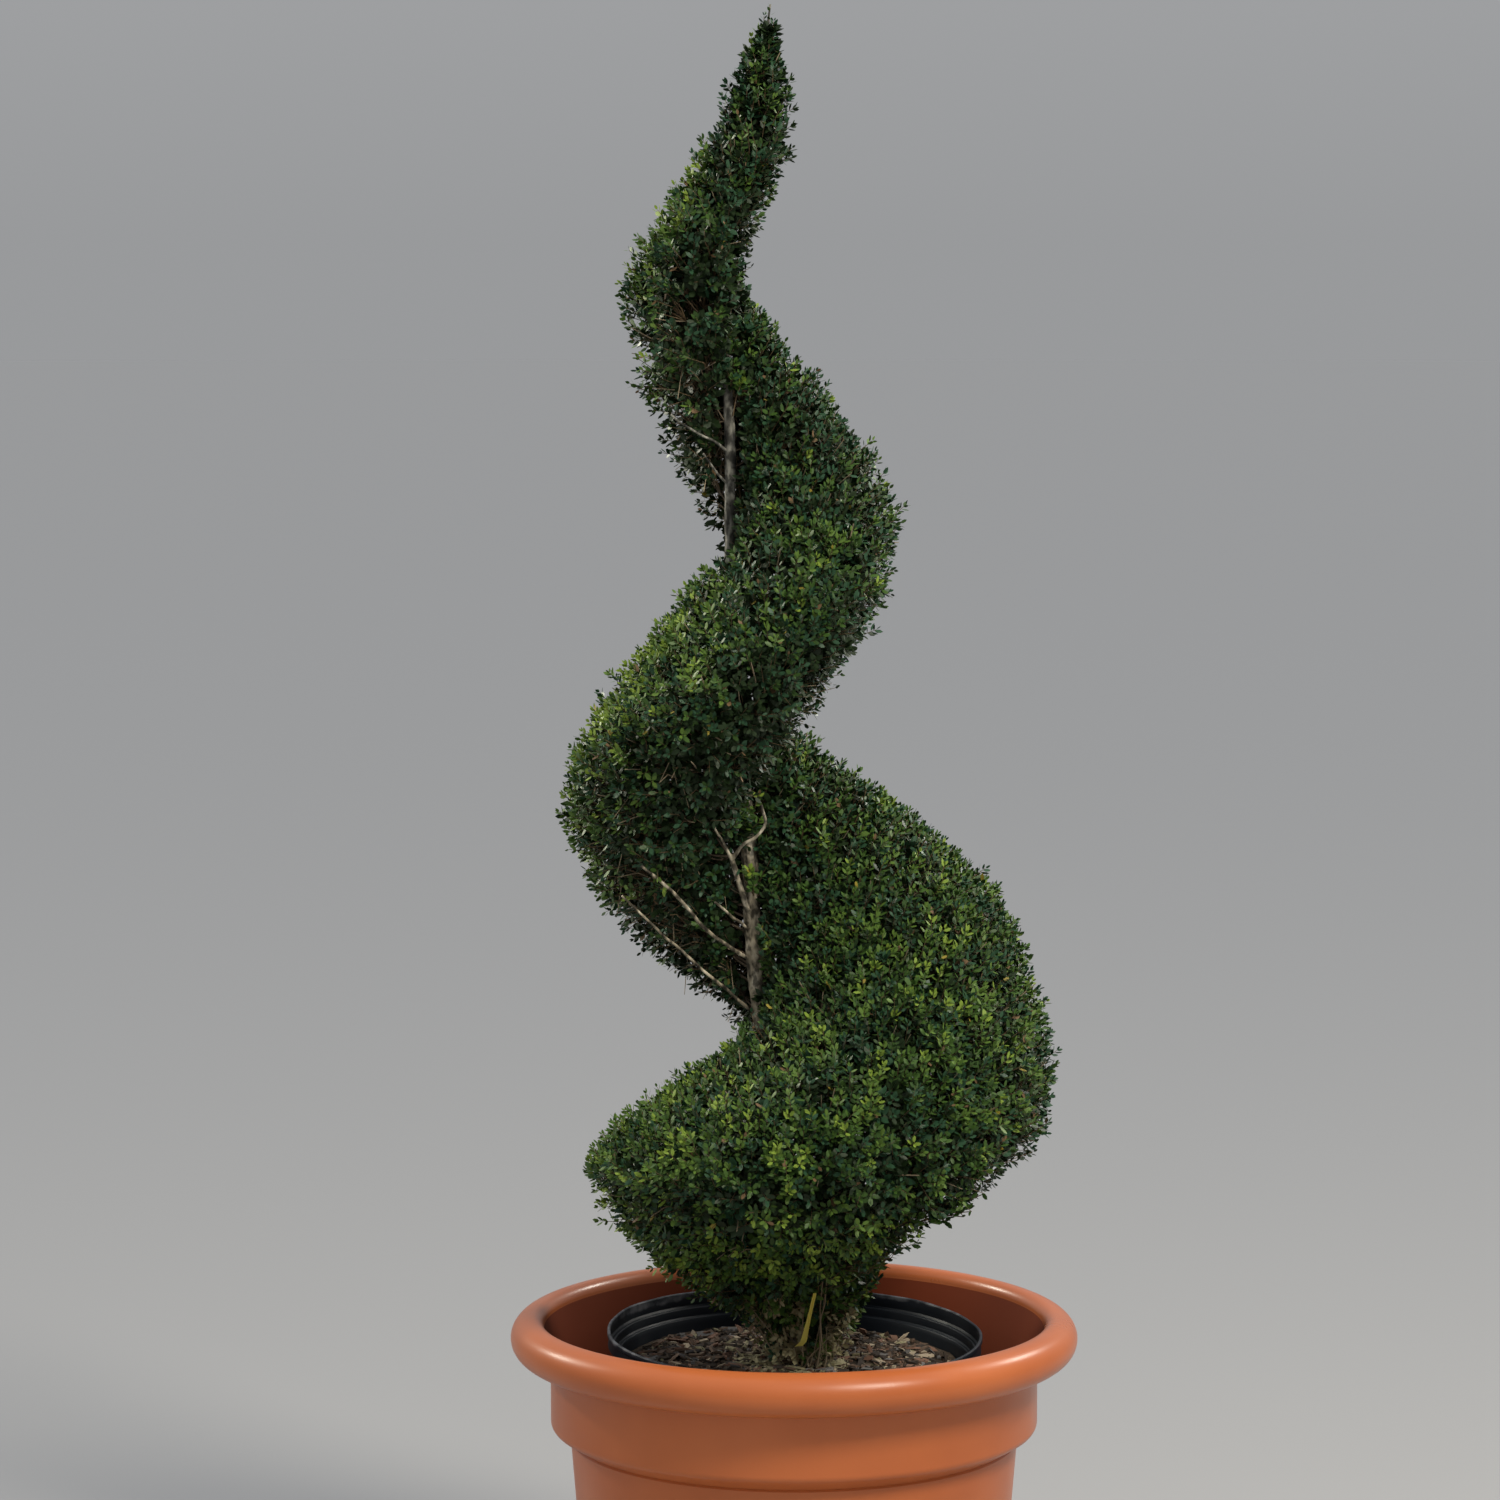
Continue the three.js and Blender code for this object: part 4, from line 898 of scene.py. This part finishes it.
def surface_grid(mass_turn):
    """Points over a mass's clipped surface, with the growth and outward direction at each."""
    half = 0.5 if mass_turn is None else WEDGE
    middle = 0 if mass_turn is None else mass_turn
    turn = np.linspace(middle - half, middle + half, GRID_TURNS)[:, None]
    share = np.linspace(0, 1, GRID_HEIGHTS)[None]
    if mass_turn is None:
        low, high = np.full_like(turn, CROWN_HEIGHT), np.full_like(turn, PLANT_HEIGHT - 0.004)
    else:
        low, high = band_floor(turn), np.minimum(band_roof(turn), CROWN_HEIGHT)
    height = low + (high - low) * share
    turn = np.broadcast_to(turn, height.shape)
    reach = mass_reach(mass_turn, turn, height)
    points = beside(turn, reach, height)
    across = np.cross(np.gradient(points, axis=0), np.gradient(points, axis=1))
    growth = np.linalg.norm(across, axis=-1)
    if mass_turn is not None:
        growth = growth * np.clip((reach - GROOVE_CLEAR[0]) / (GROOVE_CLEAR[1] - GROOVE_CLEAR[0]), 0, 1)
    growth = np.where(reach > trunk_radius(height) + 0.004, growth, 0)
    outward = unit(across)
    for start, end in OPEN_TURNS:
        under = (turn > start) & (turn < end) & (outward[..., 2] < -0.15)
        growth = np.where(under, OPEN_SHARE * growth, growth)
    start, end = OPEN_TURNS[1]
    gaps = (turn > start) & (turn < end) & (outward[..., 2] < 0.3)
    if gaps.any():
        growth[gaps] *= tufts(points[gaps], GAP_SIZE, GAP_SEED) < GAP_LEVEL
    growth = np.where(height > CROWN_SHOOTS_TOP, 0, growth)
    return turn, height, points, growth, outward


def thin_out(points, spacing):
    """Keeps points that stand at least a spacing apart, taking them in their given order."""
    tree = kdtree.KDTree(len(points))
    for index, point in enumerate(points):
        tree.insert(point, index)
    tree.balance()
    gone = np.zeros(len(points), bool)
    kept = []
    for index, point in enumerate(points):
        if gone[index]:
            continue
        kept.append(index)
        for _, near, _ in tree.find_range(point, spacing[index]):
            gone[near] = True
    return np.array(kept)


def tufts(points, size, seed):
    """A smooth value from -1 to 1 over space, which groups the shoots in tufts."""
    offset = Vector((seed * 13.7, seed * 5.1, seed * 9.3))
    return np.array([noise.noise(Vector(point) / size + offset) for point in points])


def gather(points, count, random):
    """Splits points into about that many groups of near neighbours."""
    centres = points[random.choice(len(points), min(count, len(points)), replace=False)]
    for _ in range(GATHER_ROUNDS):
        distance = np.linalg.norm(points[:, None] - centres[None], axis=2)
        group = distance.argmin(1)
        for index in range(len(centres)):
            if (group == index).any():
                centres[index] = points[group == index].mean(0)
    return group, centres


def nearest_root(mass_turn, ends):
    """Where each branch leaves the wood: the trunk below it, or the tip of a bough nearby."""
    height = ends[:, 2] - SOIL_TOP
    out = np.hypot(ends[:, 0] - trunk_lean(height), ends[:, 1])
    low = CROWN_HEIGHT if mass_turn is None else float(band_floor(np.array(mass_turn)))
    start = np.clip(height - ROOT_DROP * out, max(low - 0.03, 0.012), PLANT_HEIGHT - 0.03)
    roots = beside(0, 0, start)
    for line in bough_lines.values():
        to_tip = np.linalg.norm(ends - line[-1], axis=1)
        closer = to_tip < BOUGH_PULL * np.linalg.norm(ends - roots, axis=1)
        roots[closer] = line[-1]
    return roots


def bent_path(starts, ends, rise, steps):
    """Curved paths between points: they leave outward and turn up on the way."""
    t = np.linspace(0, 1, steps)[None, :, None]
    middle = (starts + ends) / 2 - np.array([0, 0, 1.0]) * rise[:, None]
    return (1 - t) ** 2 * starts[:, None] + 2 * t * (1 - t) * middle[:, None] + t * t * ends[:, None]


def tubes(paths, radii):
    """Tapering twigs along many paths of the same length, as points and faces."""
    count, rings = paths.shape[:2]
    forward = unit(np.gradient(paths, axis=1))
    helper = np.where(np.abs(unit(paths[:, -1] - paths[:, 0])[:, 2:3]) > 0.8, [[1.0, 0, 0]], [[0, 0, 1.0]])
    across = unit(np.cross(forward, helper[:, None]))
    other = np.cross(forward, across)
    angle = 2 * np.pi * np.arange(TWIG_SIDES) / TWIG_SIDES
    ring = across[:, :, None] * np.cos(angle)[:, None] + other[:, :, None] * np.sin(angle)[:, None]
    points = paths[:, :, None] + ring * radii[:, :, None, None]
    start = (np.arange(count)[:, None] * rings + np.arange(rings - 1)[None])[..., None] * TWIG_SIDES
    side = np.arange(TWIG_SIDES)
    after = (side + 1) % TWIG_SIDES
    faces = np.stack([start + side, start + after, start + after + TWIG_SIDES, start + side + TWIG_SIDES], -1)
    return points.reshape(-1, 3), faces.reshape(-1, 4)


def clear_of_limbs(points, margin):
    """Whether points keep clear of the trunk and boughs, and of the air where those show."""
    height = points[:, 2] - SOIL_TOP
    beside_trunk = points[:, 0] - trunk_lean(height)
    room = margin * np.clip((CROWN_SHOOTS_TOP - height) / 0.05, 0, 1)
    clear = np.hypot(beside_trunk, points[:, 1]) > trunk_radius(height) + room
    for low, high in SHOW_TRUNK:
        hidden = (height > low) & (height < high) & (beside_trunk > SHOW_LEFT) & (beside_trunk < SHOW_RIGHT)
        clear &= ~(hidden & (points[:, 1] < 0))
    # What stands behind a limb doesn't hide it, so it is counted as farther off.
    for name, line in bough_lines.items():
        away = points[:, None] - line[None, :round(SHOW_SHARE * len(line)):3]
        distance = np.linalg.norm(away, axis=2).min(1)
        seen = np.hypot(away[..., 0], away[..., 2]) + BEHIND * (away[..., 1] > 0.004)
        clear &= (distance > BOUGHS[name][0][0] + margin) & (seen.min(1) > SHOW_BOUGH)
    away = points[:, None] - tape_line[None]
    before = np.hypot(away[..., 0], away[..., 2]) + BEHIND * (away[..., 1] > 0.006)
    return clear & (before.min(1) > SHOW_TAPE)


def grow_layer(mass_turn, spacing, inset, open_share, random):
    """Shoots whose ends lie over a mass's clipped surface, or at a depth inside it."""
    turn, height, points, growth, normal = surface_grid(mass_turn)
    wanted = int(4 * growth.sum() / spacing ** 2)
    flat = random.choice(growth.size, wanted, p=(growth / growth.sum()).ravel())
    tips = points.reshape(-1, 3)[flat] + random.uniform(-0.003, 0.003, (wanted, 3))
    outward = normal.reshape(-1, 3)[flat]
    turn, height = turn.ravel()[flat], height.ravel()[flat]
    skirt = (turn < -WEDGE) & (height < SKIRT_TOP)
    shaded = np.clip(-outward[:, 2], 0, 1) * np.where(skirt, SKIRT_SHADE, 1)
    hollow = np.clip(2.5 * tufts(tips, HOLLOW_SIZE, HOLLOW_SEED), 0, 1)
    spread = (1 + open_share * SHADED_SPREAD * shaded) * (1 + open_share * HOLLOW_SPREAD * hollow)
    kept = thin_out(tips, spacing * spread * random.uniform(0.85, 1.15, wanted))
    tips, outward, shaded, hollow = tips[kept], outward[kept], shaded[kept], hollow[kept]
    turn, height = turn[kept], height[kept]
    to_middle = beside(0, 0, height) - tips
    out = np.linalg.norm(to_middle, axis=1)
    depth = random.uniform(*inset, len(tips)) * np.clip(out / THIN_MASS, 0.35, 1)
    for seed, (size, lump) in enumerate(zip(TUFT_SIZE, TUFT_DEPTH)):
        depth = depth - tufts(tips, size, seed) * lump
    long = random.random(len(tips)) < LONG_SHARE
    depth = np.minimum(depth - long * random.uniform(*LONG_REACH, len(tips)), 0.6 * out)
    tips = tips + unit(to_middle - outward * out[:, None]) * depth[:, None]
    lift = CROWN_LIFT if mass_turn is None else SHOOT_LIFT
    way = outward - 0.4 * unit(to_middle) + random.normal(0, 0.25, tips.shape)
    way[:, 2] += lift * (1 - 0.5 * shaded)
    way = unit(way)
    length = np.minimum(SHOOT_LENGTH * random.uniform(0.75, 1.2, len(tips)), 0.75 * out)
    return {
        "tips": tips, "bases": tips - way * length[:, None], "way": way, "length": length,
        "shaded": shaded, "hollow": hollow, "turn": turn, "height": height, "outward": outward,
    }


def placed_shoots(turn, out, height, way, length):
    """Single shoots that end at given places beside the trunk."""
    tips = beside(turn, out, height)
    return {
        "tips": tips, "bases": tips - way * length, "way": way, "length": np.full(len(tips), length),
        "shaded": 0 * out, "hollow": 0 * out, "turn": turn, "height": height, "outward": way,
        "inner": out > 1, "bare": out > 1,
    }


def joined(first, second):
    """Two groups of shoots as one."""
    return {key: np.concatenate([first[key], second[key]]) for key in first}


def grow_shoots(name, mass_turn):
    """All shoots of one mass: the clipped surface's, the shaded ones behind, and single ones."""
    random = seeded(name)
    spacing = CROWN_SPACING if mass_turn is None else SHOOT_SPACING
    outer = grow_layer(mass_turn, spacing, SHOOT_INSET, 1, random)
    inner = grow_layer(mass_turn, INNER_SPACING, INNER_INSET, 0, random)
    count = len(outer["tips"])
    shoots = joined(outer, inner)
    shoots["inner"] = np.arange(len(shoots["tips"])) >= count
    shoots["bare"] = (random.random(len(shoots["tips"])) < BARE_SHARE) & ~shoots["inner"]
    if name == "crown":
        turn, out, height = np.array(LEADERS).T
        way = unit(np.array([0.05, 0, 1.0]) + random.normal(0, 0.06, (len(turn), 3)))
        shoots = joined(shoots, placed_shoots(turn, out, height, way, LEADER_LENGTH))
    if name in SPRAY_PLACES:
        turn, out, height = (random.uniform(*span, SPRAY_COUNT) for span in SPRAY_PLACES[name])
        way = unit(beside(turn, 1, height) - beside(turn, 0, height) + [0, 0, 1]
                   + random.normal(0, 0.4, (SPRAY_COUNT, 3)))
        shoots = joined(shoots, placed_shoots(turn, out, height, way, SPRAY_LENGTH))
    return shoots


def hanging_twigs(shoots, random):
    """Thin dead twigs that hang free where the foliage is open underneath."""
    chosen = (shoots["shaded"] > 0.15) & (random.random(len(shoots["tips"])) < HANGING_SHARE)
    chosen &= np.any([(shoots["turn"] > start) & (shoots["turn"] < end) for start, end in OPEN_TURNS], axis=0)
    starts = shoots["bases"][chosen] + random.normal(0, 0.006, (chosen.sum(), 3))
    starts = starts - 0.012 * shoots["outward"][chosen]
    way = unit(0.3 * shoots["way"][chosen] - [0, 0, 0.6] + random.normal(0, 0.4, starts.shape))
    ends = starts + way * random.uniform(0.02, 0.05, len(starts))[:, None]
    widths = random.uniform(0.7, 1.5, len(starts))[:, None] * HANGING_RADII
    return bent_path(starts, ends, random.uniform(-0.008, 0.008, len(starts)), 4), widths


def skirt_stems(mass_turn, random):
    """Thin old stems that stand in the compost round the trunk, under the lowest leaves."""
    count = SKIRT_STEMS if mass_turn is not None and mass_turn < -WEDGE else 0
    turn = random.uniform(-WEDGE, WEDGE, count) + (mass_turn or 0)
    height = random.uniform(0.03, 0.15, count)
    starts = beside(turn, random.uniform(0.018, 0.036, count), np.full(count, -0.004))
    out = SKIRT_RADIUS + SKIRT_SLOPE * height - random.uniform(0.004, 0.03, count)
    ends = beside(turn + random.normal(0, 0.055, count), out, height)
    widths = random.uniform(0.4, 1.1, count)[:, None] * STEM_RADII
    paths = bent_path(starts, ends, random.uniform(-0.004, 0.012, count), len(STEM_RADII))
    paths[:, 1:] += np.cumsum(random.normal(0, STEM_CROOK, (count, 5, 3)), axis=1)
    open_air = clear_of_limbs(paths[:, 1:].reshape(-1, 3), 0).reshape(count, paths.shape[1] - 1).all(1)
    return paths[open_air], widths[open_air]


def tapering(starts, ends, limits, rings):
    """Lengths of straight lines between points, and the radii of limbs along them."""
    short, added, least, most = limits
    length = np.linalg.norm(ends - starts, axis=1)
    return length, np.clip(short + added * length, least, most)[:, None] * np.linspace(1, 0.7, rings)


def grow_twigs(mass_turn, shoots, random):
    """The branches, twigs and shoots of one mass, as points and faces."""
    tips, bases = shoots["tips"], shoots["bases"]
    group, forks = gather(bases, max(1, len(bases) // TWIG_SHOOTS), random)
    fork_height = forks[:, 2] - SOIL_TOP
    forks = forks + 0.22 * (beside(0, 0, fork_height) - forks) - np.array([0, 0, 0.012])
    limb, joints = gather(forks, max(1, len(bases) // BRANCH_SHOOTS), random)
    joint_height = joints[:, 2] - SOIL_TOP
    joints = joints + 0.42 * (beside(0, 0, joint_height) - joints) - np.array([0, 0, 0.02])
    roots = nearest_root(mass_turn, joints)
    branch_length, branch_width = tapering(roots, joints, BRANCH_RADIUS, 6)
    twig_length, twig_width = tapering(joints[limb], forks, TWIG_RADIUS, 5)
    shoot_width = np.where(shoots["bare"], BARE_SHOOT_WIDTH, 1)[:, None] * SHOOT_RADII
    starts = forks[group]
    parts = [
        (bent_path(roots, joints, 0.12 * branch_length, 6), branch_width, 0),
        (bent_path(joints[limb], forks, 0.1 * twig_length, 5), twig_width, 0),
        (np.stack([starts, bases + 0.2 * (tips - bases), tips], 1), shoot_width, 1 + shoots["bare"]),
        (*hanging_twigs(shoots, random), 2),
        (*skirt_stems(mass_turn, random), 2),
    ]
    points, faces, kinds, total = [], [], [], 0
    for paths, widths, kind in parts:
        if len(paths):
            ring_points, quads = tubes(paths, widths)
            points.append(ring_points)
            faces.append(quads + total)
            kinds.append(np.repeat(np.broadcast_to(kind, len(paths)), len(quads) // len(paths)))
            total += len(ring_points)
    return np.concatenate(points), np.concatenate(faces), np.concatenate(kinds)


# Leaves: small, oval and waxy, in pairs along the last shoots, each pair across the one below.
# They fold a little along the midrib, with four faces to a leaf. Colour is dealt out by shoot:
# dark where the plant is old, with some darker shoots bluish at random, and bright where it has grown
# since it was clipped. Painted shade darkens shoots that face down, lie inside or sit in hollows,
# and painted light brightens shoots that face up and those on the backlit left edges.
LEAF_LENGTH = 0.0093
LEAF_WIDTH = 0.0045
LEAF_BACK = (0.0005, 0.0042, 0.0084, 0.0132, 0.0186, 0.0248)
LEAF_SPREAD = (22, 34, 46, 56, 64, 72)
LEAF_SIZES = (0.62, 0.86, 1, 1, 1, 1)
FIRST_OLD_PAIR = 3
INNER_LEAF = 1.7
INNER_PAIRS = 5
LEAF_OUTLINE = np.array([
    (0, 0, 0), (0.46, 0.32, -0.05), (0.42, 0.72, -0.06), (0, 1, -0.07), (-0.42, 0.72, -0.06),
    (-0.46, 0.32, -0.05),
])
LEAF_FACES = np.array([(0, 1, 2), (0, 2, 3), (0, 3, 4), (0, 4, 5)])
LEAF_COLOURS = {
    "leaf_deep": ((0.013, 0.027, 0.008), 0.50),
    "leaf_blue_green": ((0.023, 0.064, 0.030), 0.42),
    "leaf_dark": ((0.030, 0.064, 0.014), 0.46),
    "leaf_green": ((0.048, 0.100, 0.018), 0.48),
    "leaf_light": ((0.084, 0.148, 0.024), 0.50),
    "leaf_new": ((0.180, 0.262, 0.036), 0.52),
    "leaf_yellow": ((0.280, 0.220, 0.035), 0.5),
    "leaf_dead": ((0.150, 0.092, 0.045), 0.6),
    "leaf_dry": ((0.340, 0.300, 0.165), 0.7),
}
DEEP, BLUE_GREEN, DARK, GREEN, LIGHT, NEW, YELLOW, DEAD, DRY = range(len(LEAF_COLOURS))
FRESHNESS_AND_LIGHT_STEPS = (-0.45, -0.1, 0.25, 0.72, 1.15)
COLOUR_TUFT_SIZE = 0.035
COLOUR_TUFT_SEED = 4
# How much painted shade darkens the leaves in hollows of the foliage.
HOLLOW_PAINTED_SHADE = 0.4
BLUISH_SHARE = 0.26
YELLOW_SHARE = 0.0015
DEAD_SHARE = 0.006
LOW_LEAVES = 0.09
LOW_DRY_SHARE = 0.6
LOW_LIGHT_SHARE = 0.45
LEAF_MATERIALS = [new_material(name, base, dull, 0.25) for name, (base, dull) in LEAF_COLOURS.items()]
TWIG_MATERIALS = [
    new_material("twig_bark", (0.10, 0.075, 0.05), 0.85, 0.3),
    new_material("shoot_bark", (0.14, 0.095, 0.05), 0.75, 0.3),
    new_material("dead_twig_bark", (0.29, 0.23, 0.15), 0.85, 0.3),
]


def freshness_and_painted_light(shoots):
    """How light each shoot is: new growth at the base's front and along the band's edges, and painted light
    on top-facing shoots and the backlit left edges. Painted shade darkens shoots that face down, lie
    inside or sit in hollows, and old growth higher up is darker.
    """
    turn, height = shoots["turn"], shoots["height"]
    edge = np.exp(-((height - band("edge", turn)) / 0.11) ** 2) * np.clip(1.5 - turn, 0, 1)
    low_front = np.exp(-((height - 0.14) / 0.12) ** 2) * (turn < -0.1)
    # Painted backlight: lighter leaves along the left edges of the middle and upper lobes.
    painted_backlight = np.exp(-((turn - 0.5) / 0.13) ** 2) * np.clip((height - 0.42) / 0.12, 0, 1)
    painted_backlight += 1.1 * np.exp(-((turn - 1.5) / 0.2) ** 2) * np.clip((height - 0.95) / 0.1, 0, 1)
    # Painted light: shoots that face up are made lighter.
    top = np.clip(shoots["outward"][:, 2], 0, 1)
    # Painted shade: shoots that face down, inner shoots and those in hollows are made darker.
    leaf_painted_shade = (0.9 - 0.6 * low_front - 0.5 * painted_backlight) * shoots["shaded"] + 1.1 * shoots["inner"]
    leaf_painted_shade = leaf_painted_shade + HOLLOW_PAINTED_SHADE * shoots["hollow"]
    old = 0.3 * np.clip((height - 0.5) / 0.6, 0, 1)
    # The painted light on top and on the left edges is added here to the new growth.
    new = 0.12 + 0.22 * edge + 0.75 * low_front + 0.8 * painted_backlight + 0.6 * top
    return new - leaf_painted_shade - old


def deal_colours(shoots, random):
    """One colour for each shoot."""
    count = len(shoots["tips"])
    patches = tufts(shoots["tips"], COLOUR_TUFT_SIZE, COLOUR_TUFT_SEED)
    # Each shoot's colour comes from new growth, painted light and painted shade, with patches and chance.
    fresh_and_lit = freshness_and_painted_light(shoots) + 0.75 * patches + random.normal(0, 0.36, count)
    kind = np.digitize(fresh_and_lit, FRESHNESS_AND_LIGHT_STEPS)
    bluish = ((kind == DARK) | (kind == GREEN)) & (random.random(count) < BLUISH_SHARE)
    kind[bluish] = BLUE_GREEN
    low = np.clip(2 - 2 * shoots["height"] / LOW_LEAVES, 0, 1)
    kind[random.random(count) < LOW_LIGHT_SHARE * low] = LIGHT
    kind[random.random(count) < LOW_DRY_SHARE * low ** 2] = DRY
    return kind


def grow_leaves(shoots, kind, random):
    """All the leaves of one mass, as points, faces and a colour for each face."""
    count = len(shoots["tips"])
    way, tips = shoots["way"], shoots["tips"]
    first = unit(np.cross(way, unit(random.normal(0, 1, (count, 3)))))
    second = np.cross(way, first)
    roots, directions, faces_up, sizes, kinds, keeps = [], [], [], [], [], []
    for pair, (back, degrees) in enumerate(zip(LEAF_BACK, LEAF_SPREAD)):
        back = back * shoots["length"] / SHOOT_LENGTH
        spread = math.radians(degrees)
        size = LEAF_SIZES[pair] * np.where(shoots["inner"], INNER_LEAF, 1)
        size = size * np.where(shoots["height"] > CROWN_SHOOTS_TOP, LEADER_LEAF, 1)
        for sign in (-1, 1):
            sideways = sign * (first if pair % 2 else second)
            direction = unit(math.cos(spread) * way + math.sin(spread) * sideways
                             + random.normal(0, 0.15, (count, 3)))
            up = math.sin(spread) * way - math.cos(spread) * sideways + random.normal(0, 0.2, (count, 3))
            roots.append(tips - way * back[:, None] + direction * 0.001)
            directions.append(direction)
            faces_up.append(up)
            sizes.append(size * random.normal(1, 0.12, count))
            darker = np.maximum(kind - (pair >= FIRST_OLD_PAIR), DEEP)
            kinds.append(np.where(kind <= NEW, darker, kind))
            lost = 0.05 + 0.4 * shoots["shaded"] + 0.9 * shoots["bare"]
            keeps.append((random.random(count) > lost) & ~(shoots["inner"] & (pair >= INNER_PAIRS)))
    keep = np.concatenate(keeps)
    root, direction = np.concatenate(roots), np.concatenate(directions)
    across = unit(np.cross(direction, np.concatenate(faces_up)))
    up = np.cross(across, direction)
    size = np.clip(np.concatenate(sizes), 0.45, 1.6)
    leaf_kind = np.concatenate(kinds)
    odd = random.random(len(root))
    leaf_kind[odd < YELLOW_SHARE] = YELLOW
    leaf_kind[odd > 1 - DEAD_SHARE] = DEAD
    middle = root + direction * (0.5 * LEAF_LENGTH * size)[:, None]
    keep &= clear_of_limbs(middle, 0.004) & (root[:, 2] > SOIL_TOP + 0.006)
    root, direction, across, up, size, leaf_kind = (
        part[keep] for part in (root, direction, across, up, size, leaf_kind))
    outline = LEAF_OUTLINE * (LEAF_WIDTH, LEAF_LENGTH, LEAF_LENGTH)
    basis = np.stack([across, direction, up], 1)
    points = root[:, None] + np.einsum("kc,ncd->nkd", outline, basis) * size[:, None, None]
    faces = LEAF_FACES[None] + len(LEAF_OUTLINE) * np.arange(len(root))[:, None, None]
    return points.reshape(-1, 3), faces.reshape(-1, 3), np.repeat(leaf_kind, len(LEAF_FACES))


for mass_name, mass_turn in MASSES.items():
    growth = seeded(mass_name)
    shoots = grow_shoots(mass_name, mass_turn)
    colours = deal_colours(shoots, growth)
    points, quads, kinds = grow_twigs(mass_turn, shoots, growth)
    mesh_piece(mass_name + "_twigs", points, quads, True, TWIG_MATERIALS, kinds, [mass_name])
    points, triangles, kinds = grow_leaves(shoots, colours, growth)
    mesh_piece(mass_name + "_leaves", points, triangles, True, LEAF_MATERIALS, kinds, [mass_name])
